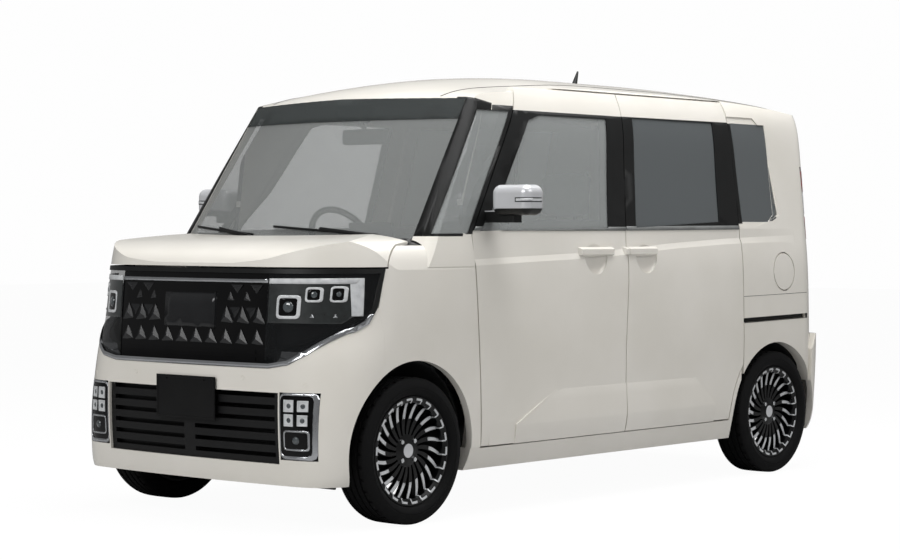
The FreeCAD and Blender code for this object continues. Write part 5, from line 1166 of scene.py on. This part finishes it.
# %% [markdown]
# Under the pads: a moulded base with the seat rails, a shell behind the back, and two
# posts for each head restraint. These pieces take the place of the plain seat solids.


# %% Seat bases
def block_with_edge(low, high, edge, taper=1.0):
    """A box with rounded edges, its foot drawn in by a taper."""
    block, size = box_start(low, high)
    bpy.ops.mesh.bevel(offset=edge, segments=3, affect="EDGES")
    if taper != 1.0:
        pick_faces(block, lambda centre, normal: centre.z < -size[2] * 0.3)
        resize(taper, taper, 1)
    box_end(low, high, 35)
    return block


def dressed_block(name, material, slot, *box, body="body"):
    return dress(block_with_edge(*box), name, material, body)


def head_post(y):
    post = begin(bpy.ops.mesh.primitive_cylinder_add, (-0.262, y, 1.180),
                 vertices=16, radius=0.0065, depth=0.110)
    pick_faces(post, lambda centre, normal: abs(normal.z) > 0.9)
    bpy.ops.mesh.inset(thickness=0.0015, depth=0.001)
    end_edit()
    return post


def leaning(place):
    """The back shell follows the lean of the pad in front of it."""
    return place.x + BACK_LEAN * ((place.z - 0.863) / 0.606) + 0.012, place.y, place.z


riser = block_with_edge((-0.030, 0.085, 0.283), (0.200, 0.535, 0.432), 0.012, 0.94)
tray = block_with_edge((-0.150, 0.082, 0.424), (0.310, 0.538, 0.462), 0.014)
shell = block_with_edge((-0.232, 0.100, 0.520), (-0.214, 0.520, 1.060), 0.008)
start_edit(shell)
move_corners(shell, leaning)
end_edit()
base = joined([riser, tray, shell])
posts = joined([head_post(0.262), head_post(0.358)])
for where, shift, factor in PLACES:
    base_piece = moved_copy(base, shift, factor)
    dress(base_piece, f"seat_base_{where}", "grained_dash_moulding", "body")
    post_piece = moved_copy(posts, shift, factor)
    dress(post_piece, f"head_posts_{where}", "satin_chromed_abs", "body")
for pattern_piece in (base, posts):
    bpy.data.objects.remove(pattern_piece)
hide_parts("front_seats")
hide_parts("rear_seats")
print("seat bases:", len(PLACES))

# %% [markdown]
# The window foot has a grey weather strip from the mirror to the rear of the sliding
# door. It is a skin on the doors, a little thicker than the film above it.

# %% Belt strips
DOOR_BELT = [(0.86, 1.118), (0.86, 1.134), (-0.30, 1.134), (-0.30, 1.118)]
SLIDE_BELT = [(-0.10, 1.118), (-0.10, 1.136), (-1.06, 1.142), (-1.06, 1.124)]
BELT_LIFT, BELT_THICK = 0.0030, 0.0028
door_belt = skin_pair("door_belt", "grey_weather_strip", "trim", "front_door_left", "side",
                      DOOR_BELT, (0, 1, 0), BELT_LIFT, BELT_THICK, bodies=DOORS)
slide_belt = skin_pair("slide_belt", "grey_weather_strip", "trim", "sliding_door_left", "side",
                       SLIDE_BELT, (0, 1, 0), BELT_LIFT, BELT_THICK)
print("belt strips:", count_of(door_belt), count_of(slide_belt))

# %% [markdown]
# The mirror has a lacquered shell over a black foot and underside, with a light strip
# let into its outer half. Black parts are skins of the shell, and the glass is a pane
# with a bevelled edge on the side that faces back.

# %% Mirror details
FOOT = oblong(0.60, 1.14, 0.86, 1.192)
MIRROR_FILMS = [
    ("side", oblong(0.62, 1.14, 0.84, 1.205), (0, 0.25, -1)),
    ("side", FOOT, (0.5, 0.8, 0)),
    ("side", FOOT, (-0.6, 0.6, 0.5)),
    ("front", oblong(0.60, 1.14, 0.80, 1.192), (1, -0.3, 0.3)),
]
LAMP_EDGE, LAMP_STRIP = oblong(0.878, 1.229, 0.962, 1.247), oblong(0.883, 1.233, 0.958, 1.243)
LAMP_FACING = (0.85, 0.5, 0)
for number, (view, outline, facing) in enumerate(MIRROR_FILMS):
    skin_pair(f"mirror_foot_{number}", "satin_black_moulding", "trim",
              "mirror_left", view, outline, facing, FILM, bodies=DOORS)
skin_pair("mirror_lamp_edge", "satin_black_moulding", "trim",
          "mirror_left", "front", LAMP_EDGE, LAMP_FACING, 0.0012, 0.0010, bodies=DOORS)
skin_pair("mirror_lamp", "frosted_light_guide", "lens",
          "mirror_left", "front", LAMP_STRIP, LAMP_FACING, 0.0020, 0.0016, bodies=DOORS)
pane = sheet(0.084, 0.158)
bpy.ops.mesh.bevel(offset=0.018, segments=4, affect="VERTICES")
pick_all()
pull(0, 0, 0.002)
bpy.ops.mesh.inset(thickness=0.003, depth=0.0008)
upright((0.6662, 0.843, 1.238), -1)
both_sides(pane, "mirror_pane", "silvered_mirror_glass", DOORS)
print("mirror pane faces:", count_of(pane))

# %% [markdown]
# Two wipers lie at the foot of the screen. An arm is one thin section drawn along a
# few points, and the blade is a longer, thinner run.


# %% Wipers
WIPERS = (("left", 0.585, 0.500, -0.005), ("right", -0.055, -0.105, -0.560))
BLADE_FOOT, BLADE_STEPS = 1.096, 8


def run_of(points, wide, high):
    """A bar with a rectangular section pulled along a line of points."""
    points = [Vector(point) for point in points]
    first = (points[1] - points[0]).normalized()
    bar_piece = sheet(wide, high)
    end_edit()
    turned = first.to_track_quat("-Z", "X").to_matrix().to_4x4()
    bar_piece.matrix_world = Matrix.Translation(points[0]) @ turned
    settle()
    start_edit(bar_piece)
    for start, end in zip(points, points[1:]):
        pull(*(end - start))
    face_outwards()
    bpy.ops.mesh.bevel(offset=min(wide, high) * 0.2, segments=2, affect="EDGES")
    end_edit(40)
    return bar_piece


def on_screen(y, z, lift):
    spot, normal = surface_at("windshield", y, z)
    return spot + normal * lift


for hand, pivot, y0, y1 in WIPERS:
    blade = run_of([
        on_screen(y0 + (y1 - y0) * step / BLADE_STEPS, BLADE_FOOT + 0.004 * step, 0.009)
        for step in range(BLADE_STEPS + 1)], 0.010, 0.012)
    middle = on_screen((y0 + y1) / 2, 1.112, 0.020)
    root = on_screen(pivot, 1.075, 0.010)
    elbow = root.lerp(middle, 0.35) + Vector((0.004, 0, 0.004))
    wiper = joined([blade, run_of([root, elbow, middle], 0.016, 0.009)])
    dress(wiper, f"wiper_{hand}", "satin_black_moulding", "body")
print("wiper faces:", count_of(wiper))

# %% [markdown]
# The screen has a black enamel border along its foot that hides the glue. Under the roof
# it has a darker band of painted shade, with the sensor housing and the inner mirror below
# it. Both skins stand clear of the glass: where two surfaces share a place, the render
# shows marks.

# %% Screen border and inner mirror
SCREEN_UP, SCREEN_CLEAR = (0.8, 0, 0.6), 0.0016
SCREEN_SKINS = {
    "screen_border_0": (oblong(-0.64, 1.035, 0.64, 1.086), "piano_black_acrylic"),
    "screen_painted_shade": (oblong(-0.62, 1.560, 0.62, 1.680), "painted_shade_glass_band"),
}
INNER_BLOCKS = {
    "sensor_housing": ((0.720, -0.085, 1.560), (0.790, 0.085, 1.625), 0.016, 0.8),
    "inner_mirror": ((0.655, -0.145, 1.475), (0.690, 0.105, 1.540), 0.014),
}
STALK = [(0.675, -0.02, 1.535), (0.700, -0.02, 1.565), (0.735, -0.02, 1.580)]
for name, (outline, material) in SCREEN_SKINS.items():
    edge = skin("windshield", "front", outline, SCREEN_UP, SCREEN_CLEAR, 0.0008)
    dress(edge, name, material, "body")
for name, box in INNER_BLOCKS.items():
    dressed_block(name, "grained_dash_moulding", "trim", *box)
stalk = run_of(STALK, 0.016, 0.016)
dress(stalk, "inner_mirror_stalk", "grained_dash_moulding", "body")
print("shade band and stalk faces:", count_of(edge), count_of(stalk))

# %% [markdown]
# The dashboard solid is a plain block, and gets a softer top pad, an instrument hood in
# front of the wheel, a screen in the middle, a centre stack and two vents. These stand
# on it and in front of it.

# %% Dashboard details
DASH = [
    ((0.645, -0.600, 1.030), (1.000, 0.600, 1.048), 0.007),
    ((0.655, 0.190, 1.040), (0.800, 0.480, 1.095), 0.018),
    ((0.648, -0.120, 1.038), (0.672, 0.120, 1.150), 0.006),
    ((0.618, -0.125, 0.760), (0.650, 0.125, 1.020), 0.010),
    ((0.622, 0.500, 0.930), (0.648, 0.585, 1.010), 0.008),
    ((0.622, -0.585, 0.930), (0.648, -0.500, 1.010), 0.008),
]
details = joined([block_with_edge(*box) for box in DASH])
dress(details, "dash_details", "grained_dash_moulding", "body")
print("dash details:", count_of(details))

# %% [markdown]
# The grille's facets are dark, and only their edges catch the light. Over each modelled
# pyramid sits a larger, lower one of smoked acrylic, made from a three-sided cone.


# %% Grille facets
FACET_SUNK = 0.0015
# y, z, width, height, depth and whether the tip points up; each is repeated on the right
SIDE_FACETS = [
    *((0.201 + 0.082 * number, 0.801, 0.074, 0.066, 0.010, True) for number in range(3)),
    (0.250, 0.897, 0.0667, 0.034, 0.008, False), (0.242, 0.801, 0.060, 0.056, 0.006, False),
    (0.350, 0.897, 0.0667, 0.034, 0.008, False), (0.324, 0.801, 0.060, 0.056, 0.006, False),
    (0.215, 0.868, 0.058, 0.040, 0.006, True), (0.300, 0.868, 0.058, 0.040, 0.006, True),
]


def facet_at(y, z, wide, high, depth, upward):
    """A three-sided pyramid on the grille, its flat back to the wall."""
    spot, normal = surface_at("front_grille", y, z)
    cone = begin(bpy.ops.mesh.primitive_cone_add, (0, 0, 0.5),
                 vertices=3, radius1=0.5, radius2=0.0, depth=1.0)
    way = 1 if upward else -1
    side, foot = wide / 2, -way * high / 2
    mesh = bmesh.from_edit_mesh(cone.data)
    base = [corner for corner in mesh.verts if corner.co.z < 0.5]
    tip, = (corner for corner in mesh.verts if corner.co.z > 0.5)
    base.sort(key=lambda corner: corner.co.y)
    for corner, place in zip(base, ((-side, foot), (side, foot), (0, -foot))):
        corner.co = (0, *place)
    tip.co = (depth, 0, -way * high * 0.12)
    bmesh.update_edit_mesh(cone.data)
    face_outwards()
    bpy.ops.mesh.bevel(offset=FILM, segments=1, affect="EDGES")
    pick_all()
    bpy.ops.transform.translate(value=(spot.x - FACET_SUNK, y, z))
    end_edit()
    return cone


facets = [
    facet_at(-0.3632 + 0.0807 * number, 0.719, 0.0727, 0.058, 0.010, True)
    for number in range(10)]
for side in (1, -1):
    facets += [facet_at(side * y, *facet) for y, *facet in SIDE_FACETS]
print("facets:", len(facets))
dress(joined(facets), "grille_facets", "smoked_facet_acrylic", "body")
FIELD_BOX = oblong(-0.145, 0.750, 0.145, 0.880)
field = skin("front_grille", "front", FIELD_BOX, (1, 0, 0), 0.0010, 0.0010)
dress(field, "grille_field", "smoked_facet_acrylic", "body")

# %% [markdown]
# A black strip lines the sliding door's rail slot in each quarter, with the fine seam of
# the rail's cover above it. A black bead fills the ditch along each side of the roof.

# %% Rail strips and roof ditches
RAIL = [(-0.961, 0.6985), (-0.961, 0.7205), (-1.560, 0.7310), (-1.560, 0.7090)]
RAIL_SEAM = [(-0.961, 0.8180), (-0.961, 0.8198), (-1.560, 0.8292), (-1.560, 0.8274)]
DITCH = [(0.760, 0.470), (0.760, 0.477), (-1.540, 0.527), (-1.540, 0.520)]
rail_strip = skin_pair("rail_strip", "satin_black_moulding", "trim",
                       "body_side_left", "side", RAIL, (-0.1, 1, 0), 0.0009, 0.0008)
skin_pair("rail_cover_seam", "charcoal_moulding", "trim",
          "body_side_left", "side", RAIL_SEAM, (-0.1, 1, 0), 0.0004, 0.0004)
ditch = skin_pair("roof_ditch_bead", "satin_black_moulding", "trim",
                  "roof_panel", "top", DITCH, (0, 0, 1), 0.0010, 0.0010)
print("rail strip and ditch:", count_of(rail_strip), count_of(ditch))

# %% [markdown]
# Along the foot of both doors a pressed ledge catches the light: a shallow swelling that
# starts at the height of the hub caps, grows downwards and turns in again at the sill.
# It is a grid whose rows follow that section, closed at the back inside the door.


# %% Door pressings
LEDGE = [
    (0.474, 0.7338), (0.470, 0.7348), (0.430, 0.7365), (0.390, 0.7383), (0.356, 0.7398),
    (0.346, 0.7400), (0.338, 0.7396), (0.300, 0.7335), (0.268, 0.7255)]
LEDGE_ROWS = len(LEDGE) - 1
LEDGE_KNEE, LEDGE_HIGH = 0.346, 0.128
DOOR_Y, LEDGE_BACK, TUCK_IN, EASE_OVER = 0.7330, 0.7200, 0.09, 0.050


def pressing(start, end, start_cut, end_cut):
    """A ledge from start to end along the car, each end cut back towards the top."""
    ledge = begin(bpy.ops.mesh.primitive_grid_add,
                  x_subdivisions=16, y_subdivisions=LEDGE_ROWS, size=1.0)

    def pressed(place):
        z, y = LEDGE[round((place.y + 0.5) * LEDGE_ROWS)]
        up = min(max((z - LEDGE_KNEE) / LEDGE_HIGH, 0.0), 1.0)
        front, back = start - start_cut * up, end + end_cut * up
        x = front + (back - front) * (place.x + 0.5)
        near = min((start_cut and (front - x) / EASE_OVER) or 1.0,
                   (end_cut and (x - back) / EASE_OVER) or 1.0, 1.0)
        ease = near * near * (3 - 2 * near)
        flat = DOOR_Y - max(0.0, LEDGE_KNEE - z) * TUCK_IN
        return x, flat + (y - flat) * ease, z

    move_corners(ledge, pressed)
    pick_all()
    pull(0, LEDGE_BACK - DOOR_Y, 0)
    face_outwards()
    end_edit(30)
    return ledge


front_ledge = pressing(0.600, -0.1345, 0.260, 0.0)
both_sides(front_ledge, "front_door_ledge", "pearl_lacquer", DOORS)
slide_ledge = pressing(-0.1412, -0.800, 0.0, 0.150)
both_sides(slide_ledge, "sliding_door_ledge", "pearl_lacquer")
print("ledges:", count_of(front_ledge), count_of(slide_ledge))

# %% [markdown]
# Ahead of each front wheel a short black air dam hangs under the bumper.

# %% Air dams
dam = block_with_edge((1.490, 0.370, 0.150), (1.502, 0.600, 0.200), 0.004)
both_sides(dam, "air_dam", "satin_black_moulding")
print("air dam:", count_of(dam))

# %% [markdown]
# At the back: tall lamps of smoked acrylic with bands of red and of frosted acrylic, a
# wiper on the glass, a grip over the plate, reflectors in the bumper and a silencer end.
# Black sheets under the grip and along the foot of the bumper are painted shade.

# %% Tail lamps and bumper skins
BANDS = [
    (1.080, 1.185, "red_lamp_acrylic"), (1.197, 1.290, "frosted_light_guide"),
    (1.302, 1.400, "red_lamp_acrylic")]
TAIL_LIFT, TAIL_THICK = 0.0022, 0.0020
REFLECTOR = oblong(0.505, 0.300, 0.640, 0.332)
# Painted shade: the black sheet along the foot of the bumper stands for the shade under it.
LOWER_PAINTED_SHADE = [(0.0, 0.178), (0.56, 0.178), (0.52, 0.262), (0.0, 0.262)]
for number, (low_z, high_z, material) in enumerate(BANDS):
    outline = oblong(0.608, low_z, 0.690, high_z)
    skin_pair(f"tail_band_{number}", material, "tail_lens",
              "rear_lamps", "front", outline, (-1, 0.25, 0), TAIL_LIFT, TAIL_THICK)
pad = skin_pair("rear_reflector", "red_lamp_acrylic", "tail_lens",
                "rear_bumper", "front", REFLECTOR, (-1, 0.3, 0), TAIL_LIFT, TAIL_THICK)
skin_pair("rear_lower_painted_shade", "satin_black_moulding", "trim",
          "rear_bumper", "front", LOWER_PAINTED_SHADE, (-1, 0, 0), 0.0012, 0.0010)
print("reflector faces:", count_of(pad))

# %% Rear wiper and grip
REAR_PIVOT = (0.02, 1.160)
spot, _ = surface_at("tailgate_glass", 0.02, 1.180, -1)
front_x = surface_at("tailgate_glass", *REAR_PIVOT)[0].x
ARM = [(-0.010, 0, -0.020), (-0.014, 0.10, 0.010), (-0.012, 0.24, 0.034)]
rear_arm = run_of([spot + Vector(step) for step in ARM], 0.014, 0.008)
rear_blade = run_of([
    spot + Vector((-0.008, 0.06 + 0.09 * step, 0.014 + 0.010 * step)) for step in range(5)],
    0.009, 0.010)
rear_hub = sensor_on("tailgate_glass", *REAR_PIVOT, 0.018)
start_edit(rear_hub)
move_corners(rear_hub, lambda place: (spot.x - 0.006 - (place.x - front_x), place.y, place.z))
bpy.ops.mesh.flip_normals()
end_edit()
rear_wiper = joined([rear_arm, rear_blade, rear_hub])
dress(rear_wiper, "rear_wiper", "satin_black_moulding", "tailgate")
gate_x = surface_at("tailgate", 0.0, 0.985, -1)[0].x
dressed_block("tailgate_grip", "satin_chromed_abs", "silver",
              (gate_x - 0.012, -0.270, 0.962), (gate_x + 0.006, 0.270, 0.996), 0.005, 0.98,
              body="tailgate")
# Painted shadow: a thin black block under the grip stands for the shade that the grip casts.
dressed_block("tailgate_grip_painted_shadow", "satin_black_moulding", "trim",
              (gate_x - 0.007, -0.180, 0.948), (gate_x + 0.006, 0.180, 0.9615), 0.003, 0.98,
              body="tailgate")
print("rear wiper faces:", count_of(rear_wiper))

# %% Rear sensors and silencer end
REAR_RINGS = [(0.0018, 0.0), (0.0010, -0.0016)]
for number, y in enumerate((0.300, 0.520)):
    disc = disc_in(*surface_at("rear_bumper", y, 0.480, -1), SENSOR_RADIUS, 24, REAR_RINGS)
    both_sides(disc, f"rear_sensor_{number}", "pearl_lacquer")
PIPE_AT = (-1.560, 0.395, 0.214)
PIPE = [(-0.020, 0.021), (0.020, 0.021), (0.020, 0.0185), (-0.020, 0.0185)]
pipe = lathe(PIPE, PIPE_AT, 24, 0.00003)
start_edit(pipe)
bpy.ops.transform.rotate(value=math.pi / 2, orient_axis="Z", center_override=PIPE_AT)
resize(3.4, 1, 1, PIPE_AT)
end_edit()
dress(pipe, "silencer_end", "black_painted_steel", "body")
print("pipe box:", [round(v, 3) for v in pipe.dimensions])

# %% [markdown]
# A plain pale floor catches the shadow, and the world is an even studio tent. What the
# camera sees behind the car is white, which is the colour of the backdrop, not light.


# %% Studio
PANELS = [
    ("overhead_panel", (-0.3, 0.8, 5.2), (-0.1, 0.1, 0.8), (4.6, 3.5), 322),
    ("side_panel", (-1.0, 6.5, 4.6), (-0.3, 0, 0.9), (5.0, 2.0), 95),
    ("front_panel", (6.2, 0.6, 3.7), (1.3, 0, 0.9), (3.0, 1.8), 158),
]
WHITE = colour("#FFFFFF")


def mixed(tree, amount, seen_else, seen_direct, end):
    """Show one surface to the camera's own rays and another to all others."""
    mix = add_node(tree, "ShaderNodeMixShader", None, {0: amount, 1: seen_else, 2: seen_direct})
    tree.links.new(mix.outputs["Shader"], end.inputs["Surface"])


def soft_light(name, place, target, size, power):
    data = bpy.data.lights.new(name, "AREA")
    data.shape = "RECTANGLE"
    data.size, data.size_y = size
    data.energy = power
    light = bpy.data.objects.new(name, data)
    light.location = place
    light.rotation_euler = (Vector(target) - Vector(place)).to_track_quat("-Z", "Y").to_euler()
    scene.collection.objects.link(light)


world = bpy.data.worlds.new("studio_tent")
scene.world = world
world.use_nodes = True
tree = world.node_tree
tree.nodes.clear()
path = add_node(tree, "ShaderNodeLightPath")
sky = add_node(tree, "ShaderNodeBackground", {"Color": colour("#DCDCDC"), "Strength": 0.36})
white = add_node(tree, "ShaderNodeBackground", {"Color": WHITE, "Strength": 0.99})
mixed(tree, path.outputs["Is Camera Ray"], sky.outputs["Background"],
      white.outputs["Background"], add_node(tree, "ShaderNodeOutputWorld"))
for panel in PANELS:
    soft_light(*panel)

floor = sheet(60.0, 60.0)
end_edit()
floor.name = "studio_floor"
floor_paint = finish("studio_floor_paint", "#ABABAB", 0.85)
tree = floor_paint.node_tree
path = add_node(tree, "ShaderNodeLightPath")
glow = add_node(tree, "ShaderNodeEmission", {"Color": WHITE, "Strength": 1.07})
seen = add_node(
    tree, "ShaderNodeMath", {"operation": "MULTIPLY", 1: 0.90}, {0: path.outputs["Is Camera Ray"]})
mixed(tree, seen.outputs["Value"], tree.nodes["Principled BSDF"].outputs["BSDF"],
      glow.outputs["Emission"], tree.nodes["Material Output"])
floor.data.materials.append(floor_paint)
print("lights:", len(PANELS))
